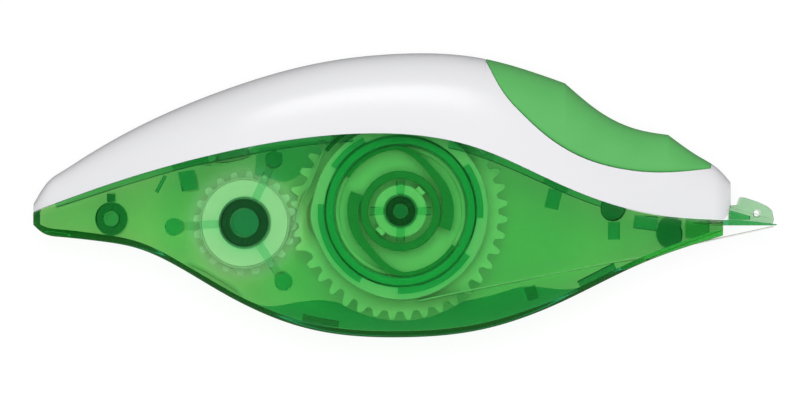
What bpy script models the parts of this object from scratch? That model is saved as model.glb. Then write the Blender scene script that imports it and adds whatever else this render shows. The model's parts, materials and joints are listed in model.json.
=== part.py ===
"""Correction tape dispenser, lying on its back half.

X runs along the tool towards the tip, Y runs up to the finger rest and Z goes
across its width. Z = 0 is the flat panel that it rests on. Lengths are metres.
"""
import math

import bmesh
import bpy
import numpy as np
from mathutils import Matrix

# Walls and clearances
WALL = 0.0013
COVER_WALL = 0.0014
LIP_WALL = 0.0008
RIB = 0.0014
CLEAR = 0.0003

# Gears: a 40-tooth drive gear turns a 20-tooth take-up reel
MODULE = 0.000866
DRIVE_TEETH = 40
TAKEUP_TEETH = 20
DRIVE_TIP_RISE = 0.00068
DRIVE_ROOT_DROP = 0.0020
TAKEUP_TIP_RISE = 0.0005
TAKEUP_ROOT_DROP = 0.00116
PRESSURE_ANGLE = math.radians(20)
BACKLASH = 0.0003
GEAR_WIDTH = 0.0018
GEAR_ROOM = 0.0017
DRIVE_AXIS = np.array((-0.00058, -0.0025))
CENTRES_ANGLE = math.radians(184.3)

# Axle posts, supply spool, clutch and take-up drum
THRUST_STEP = 0.0015
DRIVE_POST_RADIUS = 0.0025
DRIVE_POST_BORE = 0.0012
DRIVE_HUB_WALL = 0.0016
TAKEUP_POST_RADIUS = 0.0040
TAKEUP_POST_BORE = 0.0024
TAKEUP_DRUM_WALL = 0.0029
SPOOL_RADIUS = 0.0124
SPOOL_WALL = 0.0012
SPOOL_LIP = 0.0003
SHOULDER_WALL = 0.0007
SHOULDER_HEIGHT = 0.0013
CLUTCH_RING_WALL = 0.0013
CLUTCH_ARM = 0.0007
CLUTCH_WIDTH = 0.0030
ARM_FROM = math.radians(-30)
SHOE_FROM = math.radians(95)
SHOE_TO = math.radians(147)
KEY_WIDTH = 0.0016
KEY_HEIGHT = 0.0007

# Tape: the strands are drawn thicker than the real film, which is about 0.05 mm
TAPE_WIDTH = 0.0050
TAPE_THICK = 0.00025
ROLL_BUILD = 0.0019
WRAP_THICK = 0.0005
GUIDE_GAP = 0.0010
GUIDE_WALL = 0.0006
GUIDE_FROM = math.radians(60)

# Case outline: x with the height of the seam, and x with the share of the belly's depth
SEAM = [(-0.0617, -0.0027), (-0.0507, 0.0013), (-0.0307, 0.0070), (-0.0057, 0.0103),
        (0.0127, 0.0077), (0.0260, 0.0018), (0.0393, -0.0027), (0.0530, -0.0040)]
TAIL_BELLY = -0.0048
NOSE_BELLY = -0.0066
BELLY_SHARE = [(-0.0617, 0), (-0.0603, 0.066), (-0.0573, 0.109), (-0.0507, 0.143), (-0.0440, 0.210),
               (-0.0307, 0.593), (-0.0173, 0.913), (-0.0006, 1), (0.0127, 0.918), (0.0260, 0.650),
               (0.0393, 0.277), (0.0530, 0)]

# Back of the cover: a long rise, the finger rest and a short nose
CROWN_REAR = [(-0.0617, -0.0013), (-0.0606, 0.0006), (-0.0592, 0.0025), (-0.0573, 0.0039), (-0.0540, 0.0060),
              (-0.0440, 0.0117), (-0.0307, 0.0174), (-0.0140, 0.0222), (-0.0007, 0.0237), (0.0132, 0.0229),
              (0.0268, 0.0188)]
FINGER_REST = [(0.0268, 0.0188), (0.0327, 0.0140), (0.0393, 0.0110), (0.0440, 0.0102)]
CROWN_NOSE = [(0.0440, 0.0102), (0.0493, 0.0065), (0.0527, 0.0042), (0.0546, 0.0020)]
COVER_NOSE_RISE = 0.0034
COVER_POWER = 2.8

# Width of the case: its widest half against the flat panel, along x
SWELL = [(-0.0617, -0.0038), (-0.0500, -0.0017), (-0.0380, 0.0), (-0.0050, 0.00185),
         (0.0200, 0.0007), (0.0292, 0.0), (0.0400, -0.0011), (0.0546, -0.0026)]
UNDERSIDE = 0.0042
UNDERSIDE_LIMIT = 0.8
SWELL_AT = 0.72
SWELL_POWER = 2.2
SHOULDER_DROP = 0.0012
END_REACH = 0.0030
END_FLAT = 0.6

# Rubber grip in the finger rest
GRIP_EDGE = [(0.0135, 0.0230), (0.0160, 0.0182), (0.0193, 0.0142), (0.0227, 0.0110), (0.0293, 0.0068),
             (0.0360, 0.0048), (0.0427, 0.0042), (0.0513, 0.0049)]
GRIP_THICK = 0.0015
GRIP_SEAT = 0.0012

# Bosses and ribs moulded in the case
RING_RADIUS = 0.0126
RING_WALL = 0.0016
RING_STEP = 0.0011
RING_STEP_DEPTH = 0.0015
RING_STEPS = [(175, 240), (268, 327), (-5, 35), (117, 147)]
CENTRE_GUSSET = 0.0051
SPIDER_REACH = 0.0117
SPIDER_ANGLES = (183, 65, 304)
SPIDER_DEPTH = 0.0018
PIN_RADIUS = 0.00145
TAIL_BOSS = (-0.0486, -0.0037)
TAIL_BOSS_RADIUS = 0.0027
TAIL_BOSS_BORE = 0.0012
TAIL_BOSS_TAB = 0.0039
UPPER_POST = np.array((0.0347, -0.0022))
UPPER_POST_RADIUS = 0.00215
LOWER_POST = np.array((0.0441, -0.0062))
LOWER_POST_RADIUS = 0.0022
SNAP_TABS = [(-0.0168, -0.0108), (0.0265, 0.0310)]
SNAP_REACH = 0.0025
SNAP_THICK = 0.0011
TAPE_SLOT_FROM = 0.0370

# Applicator tip
TIP_EDGE = np.array((0.0621, -0.0047))
PLATE_TOP = -0.0040
PLATE_THICK = 0.0009
PLATE_ROOT = 0.0468
HEEL_LENGTH = 0.0040
HEEL_DEPTH = 0.0018
EDGE_BLUNT = 0.0003
BEVEL_LENGTH = 0.0060
CHEEK = [(0.0541, -0.0049), (0.0541, -0.0016), (0.0555, -0.00155), (0.0560, -0.0002), (0.0568, -0.0003),
         (0.0589, -0.0010), (0.0604, -0.0017), (0.0612, -0.0024), (0.0615, -0.0039), (0.0612, -0.0049)]
CHEEK_THICK = 0.0009
CHEEK_ROOM = 0.0003

# Sizes that follow
SPOOL_WIDTH = TAPE_WIDTH + 2 * SPOOL_LIP
GEAR_FLOOR = WALL + THRUST_STEP + CLEAR
GEAR_TOP = GEAR_FLOOR + GEAR_WIDTH
SPOOL_FLOOR = GEAR_TOP + CLEAR
SPOOL_TOP = SPOOL_FLOOR + SPOOL_WIDTH
HALF = SPOOL_FLOOR + SPOOL_WIDTH / 2
THICKNESS = 2 * HALF
TAPE_FLOOR = HALF - TAPE_WIDTH / 2
TAPE_TOP = HALF + TAPE_WIDTH / 2
DRIVE_PITCH = MODULE * DRIVE_TEETH / 2
TAKEUP_PITCH = MODULE * TAKEUP_TEETH / 2
TAKEUP_AXIS = DRIVE_AXIS + (DRIVE_PITCH + TAKEUP_PITCH) * np.array(
    (math.cos(CENTRES_ANGLE), math.sin(CENTRES_ANGLE)))
DRIVE_BORE = DRIVE_POST_RADIUS + CLEAR
DRIVE_HUB = DRIVE_BORE + DRIVE_HUB_WALL
TAKEUP_BORE = TAKEUP_POST_RADIUS + CLEAR
TAKEUP_DRUM = TAKEUP_BORE + TAKEUP_DRUM_WALL
SPOOL_BORE = SPOOL_RADIUS - SPOOL_WALL
ROLL_BORE = SPOOL_RADIUS + CLEAR
ROLL_RADIUS = ROLL_BORE + ROLL_BUILD
WRAP_INNER = TAKEUP_DRUM + CLEAR
WRAP_RADIUS = WRAP_INNER + WRAP_THICK
GUIDE_RADIUS = ROLL_RADIUS + GUIDE_GAP + GUIDE_WALL
STRAND_OFFSET = CLEAR + TAPE_THICK / 2
BELLY_LOW = DRIVE_AXIS[1] - DRIVE_PITCH - DRIVE_TIP_RISE - GEAR_ROOM - WALL
LIP_HEIGHT = DRIVE_AXIS[1] + GUIDE_RADIUS + WALL - max(y for _, y in SEAM)
GRIP_DEPTH = GRIP_THICK + CLEAR
TAIL_X = SEAM[0][0]
NOSE_X = SEAM[-1][0]
COVER_NOSE_X = CROWN_NOSE[-1][0]
FACETS = 32
FAR = 0.05

for item in list(bpy.data.objects):
    bpy.data.objects.remove(item)
parts = bpy.data.collections.new("correction_tape")
bpy.context.scene.collection.children.link(parts)


# Curves and outlines

def spline(points):
    """Natural cubic curve y(x) through a few points, level beyond its ends."""
    x, y = np.array(points, float).T
    step = np.diff(x)
    count = len(x)
    system = np.eye(count)
    right = np.zeros(count)
    for i in range(1, count - 1):
        system[i, i - 1:i + 2] = step[i - 1], 2 * (step[i - 1] + step[i]), step[i]
        right[i] = 6 * ((y[i + 1] - y[i]) / step[i] - (y[i] - y[i - 1]) / step[i - 1])
    bend = np.linalg.solve(system, right)

    def curve(at):
        at = np.clip(np.asarray(at, float), x[0], x[-1])
        i = np.clip(np.searchsorted(x, at) - 1, 0, count - 2)
        far = (at - x[i]) / step[i]
        near = 1 - far
        bow = (near ** 3 - near) * bend[i] + (far ** 3 - far) * bend[i + 1]
        return near * y[i] + far * y[i + 1] + bow * step[i] ** 2 / 6

    return curve


seam = spline(SEAM)
belly_share = spline(BELLY_SHARE)
swell_over_panel = spline(SWELL)
crown_rear = spline(CROWN_REAR)
finger_rest = spline(FINGER_REST)
crown_nose = spline(CROWN_NOSE)
grip_edge = spline(GRIP_EDGE)


def belly(x):
    """Lowest line of the case: a chord from tail to nose, sunk to clear the drive gear."""
    chord = TAIL_BELLY + (NOSE_BELLY - TAIL_BELLY) * (x - TAIL_X) / (NOSE_X - TAIL_X)
    chord_middle = TAIL_BELLY + (NOSE_BELLY - TAIL_BELLY) * (DRIVE_AXIS[0] - TAIL_X) / (NOSE_X - TAIL_X)
    return chord + (BELLY_LOW - chord_middle) * belly_share(x)


def crown(x):
    """Highest line of the cover and the grip."""
    front = np.where(x < FINGER_REST[-1][0], finger_rest(x), crown_nose(x))
    return np.where(x < FINGER_REST[0][0], crown_rear(x), front)


def cover_edge(x):
    """Lower edge of the cover: over the seam, then curling up round the nose."""
    past = np.clip((x - NOSE_X) / (COVER_NOSE_X - NOSE_X), 0, 1)
    return seam(x) + CLEAR + COVER_NOSE_RISE * past ** 2


def plan_round(x):
    """Narrowing of the width close to the tail and the nose."""
    share = np.clip(np.minimum(x - TAIL_X, COVER_NOSE_X - x) / END_REACH, 0, 1)
    return np.sqrt(END_FLAT ** 2 + (1 - END_FLAT ** 2) * (1 - (1 - share) ** 2))


def underside_half(x):
    """Half-width of the level strip along the belly."""
    return np.minimum(UNDERSIDE, UNDERSIDE_LIMIT * (HALF + swell_over_panel(x)))


def case_half(x, y):
    """Half-width of the case: a swelling side, cut off by the flat panel."""
    share = np.clip((y - belly(x)) / (seam(x) - belly(x)), 0, 1)
    widest = HALF + swell_over_panel(x)
    foot = underside_half(x)
    rise = np.sqrt(1 - np.clip(1 - share / SWELL_AT, 0, 1) ** SWELL_POWER)
    past = np.clip((share - SWELL_AT) / (1 - SWELL_AT), 0, 1)
    side = foot + (widest - foot) * rise - SHOULDER_DROP * past ** 2
    return np.minimum(side, HALF) * plan_round(x)


def grip_wall(x):
    """Extra depth of the cover's wall where it carries the grip."""
    start = GRIP_EDGE[0][0]
    fade = np.clip((x - start + 2 * GRIP_DEPTH) / (2 * GRIP_DEPTH), 0, 1)
    return (GRIP_DEPTH + GRIP_SEAT - COVER_WALL) * fade


def arch(share):
    """Superellipse: the part of the half-width left at a share of the height."""
    return (1 - np.clip(share, 0, 1) ** COVER_POWER) ** (1 / COVER_POWER)


def hollow_half(x, y):
    """Half-width of the space inside the cover."""
    low = cover_edge(x)
    top = crown(x) - COVER_WALL - grip_wall(x)
    return (case_half(x, seam(x)) - COVER_WALL - grip_wall(x)) * arch((y - low) / (top - low))


def circle(centre, radius, facets=FACETS):
    """Closed ring of points, with its flats on the X and Y directions."""
    turn = (np.arange(facets) + 0.5) * 2 * math.pi / facets
    return np.column_stack((centre[0] + radius * np.cos(turn), centre[1] + radius * np.sin(turn)))


def arc(centre, radius, start, end, facets=12):
    """Open run of points from one angle to another."""
    turn = np.linspace(start, end, facets + 1)
    return np.column_stack((centre[0] + radius * np.cos(turn), centre[1] + radius * np.sin(turn)))


def band(path, thickness):
    """Closed outline of a strip of one thickness along a path."""
    along = np.gradient(path, axis=0)
    along /= np.linalg.norm(along, axis=1)[:, None]
    across = np.column_stack((-along[:, 1], along[:, 0])) * thickness / 2
    return np.vstack((path + across, (path - across)[::-1]))


def box_outline(low, high):
    """Rectangle between two corners."""
    return [(low[0], low[1]), (high[0], low[1]), (high[0], high[1]), (low[0], high[1])]


def spoke(centre, angle, inner, outer, width):
    """Rectangle that runs out from a centre."""
    out = np.array((math.cos(angle), math.sin(angle)))
    return band(np.array((centre + inner * out, centre + outer * out)), width)


def gear_outline(centre, teeth, tip_rise, root_drop, phase):
    """Involute teeth, one of them centred on the phase angle."""
    pitch = MODULE * teeth / 2
    base = pitch * math.cos(PRESSURE_ANGLE)
    root = pitch - root_drop
    start = max(base, root)
    flank = np.array((root, start, pitch + tip_rise))
    roll = np.arccos(np.minimum(base / np.maximum(flank, base), 1))
    half_tooth = (math.pi * MODULE - BACKLASH) / (4 * pitch) + math.tan(PRESSURE_ANGLE) - PRESSURE_ANGLE
    half = half_tooth - (np.tan(roll) - roll)
    radius = np.concatenate((flank, flank[::-1]))
    offset = np.concatenate((-half, half[::-1]))
    turn = (phase + np.arange(teeth) * 2 * math.pi / teeth)[:, None] + offset
    radius = np.broadcast_to(radius, turn.shape)
    return np.column_stack((centre[0] + (radius * np.cos(turn)).ravel(),
                            centre[1] + (radius * np.sin(turn)).ravel()))


def tangent(first, first_radius, second, second_radius, side, crossing=False):
    """Touching points of a straight strand on two circles; side 1 is left of the way from first to second."""
    way = second - first
    length = np.linalg.norm(way)
    reach = first_radius + second_radius if crossing else first_radius - second_radius
    lean = math.atan2(way[1], way[0]) + side * math.acos(reach / length)
    out = np.array((math.cos(lean), math.sin(lean)))
    return first + first_radius * out, second + (-second_radius if crossing else second_radius) * out


def around(centre, radius, first, last):
    """Points on a circle from one touching point to the next, about eight degrees apart."""
    start = math.atan2(*(first - centre)[::-1])
    end = math.atan2(*(last - centre)[::-1])
    facets = int(abs(end - start) / math.radians(8))
    return arc(centre, radius, start, end, facets) if facets else (first + last)[None] / 2


def liner_run():
    """Straight run of the used film: where it starts at the tip and where it meets the guide."""
    start = TIP_EDGE + (-2 * CLEAR, 2 * STRAND_OFFSET)
    return tangent(start, 0, DRIVE_AXIS, GUIDE_RADIUS + STRAND_OFFSET, -1)


def liner_drop():
    """Straight run from the guide, past the roll by the guide's gap, to where it meets the take-up drum."""
    near, far = ROLL_RADIUS + GUIDE_GAP, GUIDE_RADIUS + STRAND_OFFSET
    nearest, end = tangent(DRIVE_AXIS, near, TAKEUP_AXIS, WRAP_RADIUS + STRAND_OFFSET, -1, crossing=True)
    back = (nearest - end) / np.linalg.norm(nearest - end)
    return nearest + math.sqrt(far ** 2 - near ** 2) * back, end


# Solids

def place(name, mesh):
    """New object in the part's collection, with its faces turned outwards."""
    shape = bmesh.new()
    shape.from_mesh(mesh)
    bmesh.ops.remove_doubles(shape, verts=shape.verts, dist=1e-7)
    bmesh.ops.recalc_face_normals(shape, faces=shape.faces)
    shape.to_mesh(mesh)
    shape.free()
    solid = bpy.data.objects.new(name, mesh)
    parts.objects.link(solid)
    return solid


def evaluated_mesh(item):
    """Mesh of an object with its modifiers or its curve settings worked out."""
    bpy.context.view_layer.update()
    ready = item.evaluated_get(bpy.context.evaluated_depsgraph_get())
    return bpy.data.meshes.new_from_object(ready)


def plate(name, outlines, floor, top):
    """Flat piece between two heights; outlines inside the first one are holes."""
    curve = bpy.data.curves.new(name, "CURVE")
    curve.dimensions = "2D"
    curve.fill_mode = "BOTH"
    curve.extrude = (top - floor) / 2
    for outline in outlines:
        run = curve.splines.new("POLY")
        run.points.add(len(outline) - 1)
        for point, (x, y) in zip(run.points, outline):
            point.co = (x, y, 0, 1)
        run.use_cyclic_u = True
    drawing = bpy.data.objects.new(name, curve)
    parts.objects.link(drawing)
    mesh = evaluated_mesh(drawing)
    mesh.transform(Matrix.Translation((0, 0, (floor + top) / 2)))
    bpy.data.objects.remove(drawing)
    return place(name, mesh)


def loft(name, stations, rings):
    """Closed body through rings of (y, z) points, one ring at each x."""
    shape = bmesh.new()
    loops = [[shape.verts.new((x, y, z)) for y, z in ring] for x, ring in zip(stations, rings)]
    for near, far in zip(loops, loops[1:]):
        for i in range(len(near)):
            shape.faces.new((near[i - 1], near[i], far[i], far[i - 1]))
    shape.faces.new(loops[0])
    shape.faces.new(loops[-1])
    mesh = bpy.data.meshes.new(name)
    shape.to_mesh(mesh)
    shape.free()
    return place(name, mesh)


def merge_flats(mesh):
    """Joins the triangles that a Boolean leaves on flat faces."""
    shape = bmesh.new()
    shape.from_mesh(mesh)
    bmesh.ops.dissolve_limit(shape, angle_limit=math.radians(0.02), verts=shape.verts, edges=shape.edges)
    shape.to_mesh(mesh)
    shape.free()


def combine(body, operation, *tools):
    """Boolean with each tool in turn; the tools are used up."""
    for tool in tools:
        step = body.modifiers.new(operation.title(), "BOOLEAN")
        step.operation = operation
        step.object = tool
        mesh = evaluated_mesh(body)
        body.modifiers.clear()
        body.data = mesh
        bpy.data.objects.remove(tool)
    merge_flats(body.data)
    return body


def tube(name, centre, radius, bore, floor, top):
    """Hollow post."""
    return plate(name, [circle(centre, radius), circle(centre, bore, FACETS // 2)], floor, top)


def post(name, centre, radius, floor, top):
    """Solid post."""
    return plate(name, [circle(centre, radius, FACETS // 2)], floor, top)


def stations_between(first, last, count, *extra):
    """Places along x, closer together near both ends, with any corners added."""
    even = (1 - np.cos(np.linspace(0, math.pi, count))) / 2
    even = 0.5 * even + 0.5 * np.linspace(0, 1, count)
    return np.unique(np.concatenate((first + (last - first) * even, extra)))


# Case halves

def case_rows(x, inset):
    """Heights up the side of the case at every station, with rows on the edges of the flat panel."""
    widest = HALF + swell_over_panel(x)
    foot = underside_half(x)
    cut = np.minimum((HALF - foot) / (widest - foot), 1)
    lower = SWELL_AT * (1 - (1 - cut ** 2) ** (1 / SWELL_POWER))
    over = np.clip((widest - HALF) / SHOULDER_DROP, 0, 1)
    upper = np.clip(SWELL_AT + (1 - SWELL_AT) * np.sqrt(over), SWELL_AT + 0.03, 0.94)
    rows = [lower * (k / 5) ** 2 for k in range(1, 6)]
    rows += [lower + (upper - lower) * k / 2 for k in (1, 2)]
    rows += [upper + (1 - upper) * k / 2 for k in (1, 2)]
    low = belly(x) + inset
    return low, [low + (seam(x) - low) * row for row in rows]


def case_body(name, side, inset, parting, top_reach, count):
    """Half of the case as a full body, shrunk by the inset; the top may reach past the seam."""
    x = stations_between(TAIL_X + inset, NOSE_X - inset, count)
    low, rows = case_rows(x, inset)
    foot = underside_half(x) * plan_round(x) - inset / 2
    ring = [(low, 0 * x + parting), (low, foot / 2), (low, foot)]
    ring += [(row, case_half(x, row) - inset) for row in rows]
    if top_reach:
        ring.append((seam(x) + top_reach, case_half(x, seam(x)) - inset))
    ring.append((seam(x) + top_reach, 0 * x + parting))
    rings = np.stack([np.column_stack((y, HALF + side * half)) for y, half in ring], axis=1)
    return loft(name, x, rings)


def case_lip(name, side):
    """Shelf and lip that stand up inside the cover, ending where its wall thickens for the grip."""
    x = stations_between(TAIL_X + 3 * END_REACH, GRIP_EDGE[0][0] - 2 * GRIP_DEPTH, 15)
    height = np.minimum(LIP_HEIGHT, crown(x) - seam(x) - 3 * COVER_WALL)
    shelf = seam(x) - CLEAR / 3
    rows = [shelf, seam(x) + height / 2, seam(x) + height]
    outer = [hollow_half(x, row) - CLEAR for row in rows]
    wall = case_half(x, seam(x)) - WALL / 2
    ring = [(seam(x) - WALL, outer[0] - LIP_WALL), (seam(x) - WALL, wall), (shelf, wall)]
    ring += list(zip(rows, outer))
    ring += [(row, edge - LIP_WALL) for row, edge in zip(rows[:0:-1], outer[:0:-1])]
    rings = np.stack([np.column_stack((y, HALF + side * half)) for y, half in ring], axis=1)
    return loft(name, x, rings)


def nose_cut(name, outline):
    """Passage for the tape and the tip through the nose."""
    reach = TAPE_WIDTH / 2 + CHEEK_ROOM + CLEAR
    return plate(name, [outline], HALF - reach, HALF + reach)


def belly_strip(name, first, last, floor, top, near, far):
    """Strip that follows the belly, between two heights above it and two depths."""
    x = np.linspace(first, last, 6)
    ring = [(belly(x) + floor, near), (belly(x) + floor, far), (belly(x) + top, far), (belly(x) + top, near)]
    rings = np.stack([np.column_stack((y, 0 * x + z)) for y, z in ring], axis=1)
    return loft(name, x, rings)


def case_half_shell(name, side, features):
    """One moulded half: its wall, lip and nose openings, with features joined to the inside of the wall."""
    shell = case_body(name, side, 0, CLEAR / 2, 0, 33)
    combine(shell, "DIFFERENCE", case_body("cavity", side, WALL, -CLEAR, 2 * WALL, 17))
    combine(shell, "UNION", case_lip("lip", side))
    slot_top = PLATE_TOP - PLATE_THICK
    tape_slot = box_outline((TAPE_SLOT_FROM, -FAR), (2 * FAR, slot_top))
    combine(shell, "DIFFERENCE", nose_cut("tape_slot", tape_slot))
    stem_slot = box_outline((NOSE_X - 2 * WALL, slot_top - CLEAR), (2 * FAR, FAR))
    combine(shell, "DIFFERENCE", nose_cut("stem_slot", stem_slot))
    for feature in features:
        combine(feature, "INTERSECT", case_body("trim", side, WALL / 2, -FAR / 10, 0, 17))
        combine(shell, "UNION", feature)
    return shell


def tail_boss(side):
    """Keyhole boss in the tail: a tube with a tab above and a point below."""
    x, y = TAIL_BOSS
    ends = sorted((HALF + side * CLEAR / 2, HALF + side * HALF))
    tab = math.asin(RIB / 2 / TAIL_BOSS_RADIUS)
    flank = math.acos(TAIL_BOSS_RADIUS / TAIL_BOSS_TAB)
    left = arc(TAIL_BOSS, TAIL_BOSS_RADIUS, math.pi / 2 + tab, math.pi * 3 / 2 - flank)
    right = arc(TAIL_BOSS, TAIL_BOSS_RADIUS, -math.pi / 2 + flank, math.pi / 2 - tab)
    point = (x, y - TAIL_BOSS_TAB)
    corners = [(x + RIB / 2, y + TAIL_BOSS_TAB), (x - RIB / 2, y + TAIL_BOSS_TAB)]
    outline = np.vstack((left, point, right, corners))
    return plate("boss", [outline, circle(TAIL_BOSS, TAIL_BOSS_BORE, FACETS // 2)], *ends)


def make_back_shell():
    """Rear half: axle posts with thrust steps, guide posts for the tape and sockets for the pins."""
    features = [
        tube("drive_step", DRIVE_AXIS, DRIVE_HUB, DRIVE_POST_BORE, 0, WALL + THRUST_STEP),
        tube("drive_post", DRIVE_AXIS, DRIVE_POST_RADIUS, DRIVE_POST_BORE, 0, SPOOL_TOP + CLEAR),
        tube("takeup_step", TAKEUP_AXIS, TAKEUP_BORE + RIB, TAKEUP_POST_BORE, 0, WALL + THRUST_STEP),
        tube("takeup_post", TAKEUP_AXIS, TAKEUP_POST_RADIUS, TAKEUP_POST_BORE, 0, SPOOL_TOP + CLEAR),
        post("upper_post", UPPER_POST, UPPER_POST_RADIUS, 0, HALF + TAPE_WIDTH / 2 + CLEAR),
        post("lower_post", LOWER_POST, LOWER_POST_RADIUS, 0, HALF + TAPE_WIDTH / 2 + CLEAR),
    ]
    for angle in SPIDER_ANGLES:
        turn = math.radians(angle)
        centre = TAKEUP_AXIS + SPIDER_REACH * np.array((math.cos(turn), math.sin(turn)))
        features.append(post("socket", centre, PIN_RADIUS, 0, HALF - CLEAR / 2))
    return case_half_shell("back_shell", -1, features + [tail_boss(-1)])


def make_front_shell():
    """Front half: stepped ring over the spool, centre boss with gussets, rib spider and alignment pins."""
    inner_face = THICKNESS - WALL
    boss_end = SPOOL_TOP + 2 * CLEAR
    features = [
        tube("ring", DRIVE_AXIS, RING_RADIUS, RING_RADIUS - RING_WALL, SPOOL_TOP + CLEAR, THICKNESS),
        tube("centre", DRIVE_AXIS, DRIVE_POST_RADIUS, DRIVE_POST_BORE, boss_end, THICKNESS),
        tube("takeup_stub", TAKEUP_AXIS, TAKEUP_POST_RADIUS, TAKEUP_POST_BORE, boss_end, THICKNESS),
    ]
    for first, last in RING_STEPS:
        start, end = math.radians(first), math.radians(last)
        outer = arc(DRIVE_AXIS, RING_RADIUS + RING_STEP, start, end)
        inner = arc(DRIVE_AXIS, RING_RADIUS - RING_WALL / 2, end, start)
        outline = np.vstack((outer, inner))
        features.append(plate("step", [outline], inner_face - RING_STEP_DEPTH, THICKNESS))
    for quarter in range(4):
        outline = spoke(DRIVE_AXIS, quarter * math.pi / 2, DRIVE_POST_BORE + CLEAR, CENTRE_GUSSET, RIB)
        features.append(plate("gusset", [outline], SPOOL_TOP + RIB, THICKNESS))
    for angle in SPIDER_ANGLES:
        turn = math.radians(angle)
        centre = TAKEUP_AXIS + SPIDER_REACH * np.array((math.cos(turn), math.sin(turn)))
        outline = spoke(TAKEUP_AXIS, turn, TAKEUP_POST_BORE + CLEAR, SPIDER_REACH, RIB)
        features.append(plate("spider", [outline], inner_face - SPIDER_DEPTH, THICKNESS))
        features.append(post("pin", centre, PIN_RADIUS, HALF + CLEAR / 2, THICKNESS))
    shell = case_half_shell("front_shell", 1, features + [tail_boss(1)])
    for first, last in SNAP_TABS:
        low, high = WALL + CLEAR, WALL + CLEAR + SNAP_THICK
        tongue = belly_strip("tongue", first, last, low, high, HALF - SNAP_REACH, HALF + SNAP_REACH / 2)
        anchor = belly_strip("anchor", first, last, WALL / 2, high - CLEAR, HALF + CLEAR, HALF + SNAP_REACH)
        combine(shell, "UNION", combine(tongue, "UNION", anchor))
    lip_depth = hollow_half(DRIVE_AXIS[0], DRIVE_AXIS[1] + GUIDE_RADIUS) - CLEAR - LIP_WALL / 2
    leave = liner_drop()[0] - DRIVE_AXIS
    guide = arc(DRIVE_AXIS, GUIDE_RADIUS - GUIDE_WALL / 2, GUIDE_FROM, math.atan2(leave[1], leave[0]))
    return combine(shell, "UNION", plate("guide", [band(guide, GUIDE_WALL)], TAPE_FLOOR, HALF + lip_depth))


# Cover and grip

def crown_body(name, inset, extra, drop, count):
    """Full body of the cover, shrunk by the inset and reaching below its edge by the drop."""
    corners = (FINGER_REST[0][0], FINGER_REST[-1][0], GRIP_EDGE[0][0], GRIP_EDGE[0][0] - 2 * GRIP_DEPTH)
    x = stations_between(TAIL_X + inset, COVER_NOSE_X - inset, count, *corners)
    low = cover_edge(x)
    top = crown(x) - inset - extra(x)
    base = case_half(x, seam(x)) - inset - extra(x)
    shares = 1 - np.linspace(1, 0, 9) ** 2
    ring = [(low - drop, base)] if drop else []
    ring += [(low + (top - low) * share, base * arch(share)) for share in shares]
    front = [np.column_stack((y, HALF + half)) for y, half in ring]
    back = [np.column_stack((y, HALF - half)) for y, half in reversed(ring[:-1])]
    return loft(name, x, np.stack(front + back, axis=1))


def grip_prism(name, grow):
    """Column over the grip's outline, grown by a clearance."""
    x = np.linspace(GRIP_EDGE[0][0], GRIP_EDGE[-1][0], 20)
    edge = np.column_stack((x, grip_edge(x) - grow))
    edge[0, 0] -= grow
    edge[-1, 0] += grow
    outline = np.vstack((edge, ((edge[-1, 0], FAR), (edge[0, 0], FAR))))
    return plate(name, [outline], -FAR, FAR)


def no_inset(x):
    """The plain outer surface."""
    return 0 * x


def make_top_cover():
    """White cover: a saddle shell with a seat for the grip and a passage in its nose."""
    cover = crown_body("top_cover", 0, no_inset, 0, 33)
    combine(cover, "DIFFERENCE", crown_body("hollow", COVER_WALL, grip_wall, 2 * COVER_WALL, 17))
    seat = grip_prism("seat", CLEAR)
    combine(seat, "DIFFERENCE", crown_body("core", GRIP_DEPTH, no_inset, 0, 33))
    combine(cover, "DIFFERENCE", seat)
    start, meet = liner_run()
    room = (0, STRAND_OFFSET + CLEAR)
    passage = [meet - (0, FAR), start - (0, FAR), start + room, meet + room]
    return combine(cover, "DIFFERENCE", nose_cut("passage", passage))


def make_finger_grip():
    """Rubber pad that fills the seat up to the outer surface."""
    grip = crown_body("finger_grip", 0, no_inset, 0, 33)
    combine(grip, "INTERSECT", grip_prism("pad", 0))
    return combine(grip, "DIFFERENCE", crown_body("core", GRIP_THICK, no_inset, 0, 33))


# Tip

def make_applicator_tip():
    """Pressing plate with a sharp edge, a heel inside the nose and a cheek on each side of the tape."""
    half = TAPE_WIDTH / 2 + CHEEK_ROOM
    low = PLATE_TOP - PLATE_THICK
    heel_end = PLATE_ROOT + HEEL_LENGTH
    heel_low = low - HEEL_DEPTH
    heel = [(PLATE_ROOT, PLATE_TOP), (PLATE_ROOT, heel_low), (heel_end, heel_low), (heel_end, low)]
    edge = [(TIP_EDGE[0] - EDGE_BLUNT, low), tuple(TIP_EDGE), (TIP_EDGE[0] - BEVEL_LENGTH, PLATE_TOP)]
    tip = plate("applicator_tip", [heel + edge], HALF - half, HALF + half)
    depth = CHEEK_THICK + CHEEK_ROOM / 2
    for floor in (HALF - half - CHEEK_THICK, HALF + half + CHEEK_THICK - depth):
        combine(tip, "UNION", plate("cheek", [CHEEK], floor, floor + depth))
    return tip


# Mechanism

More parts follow.
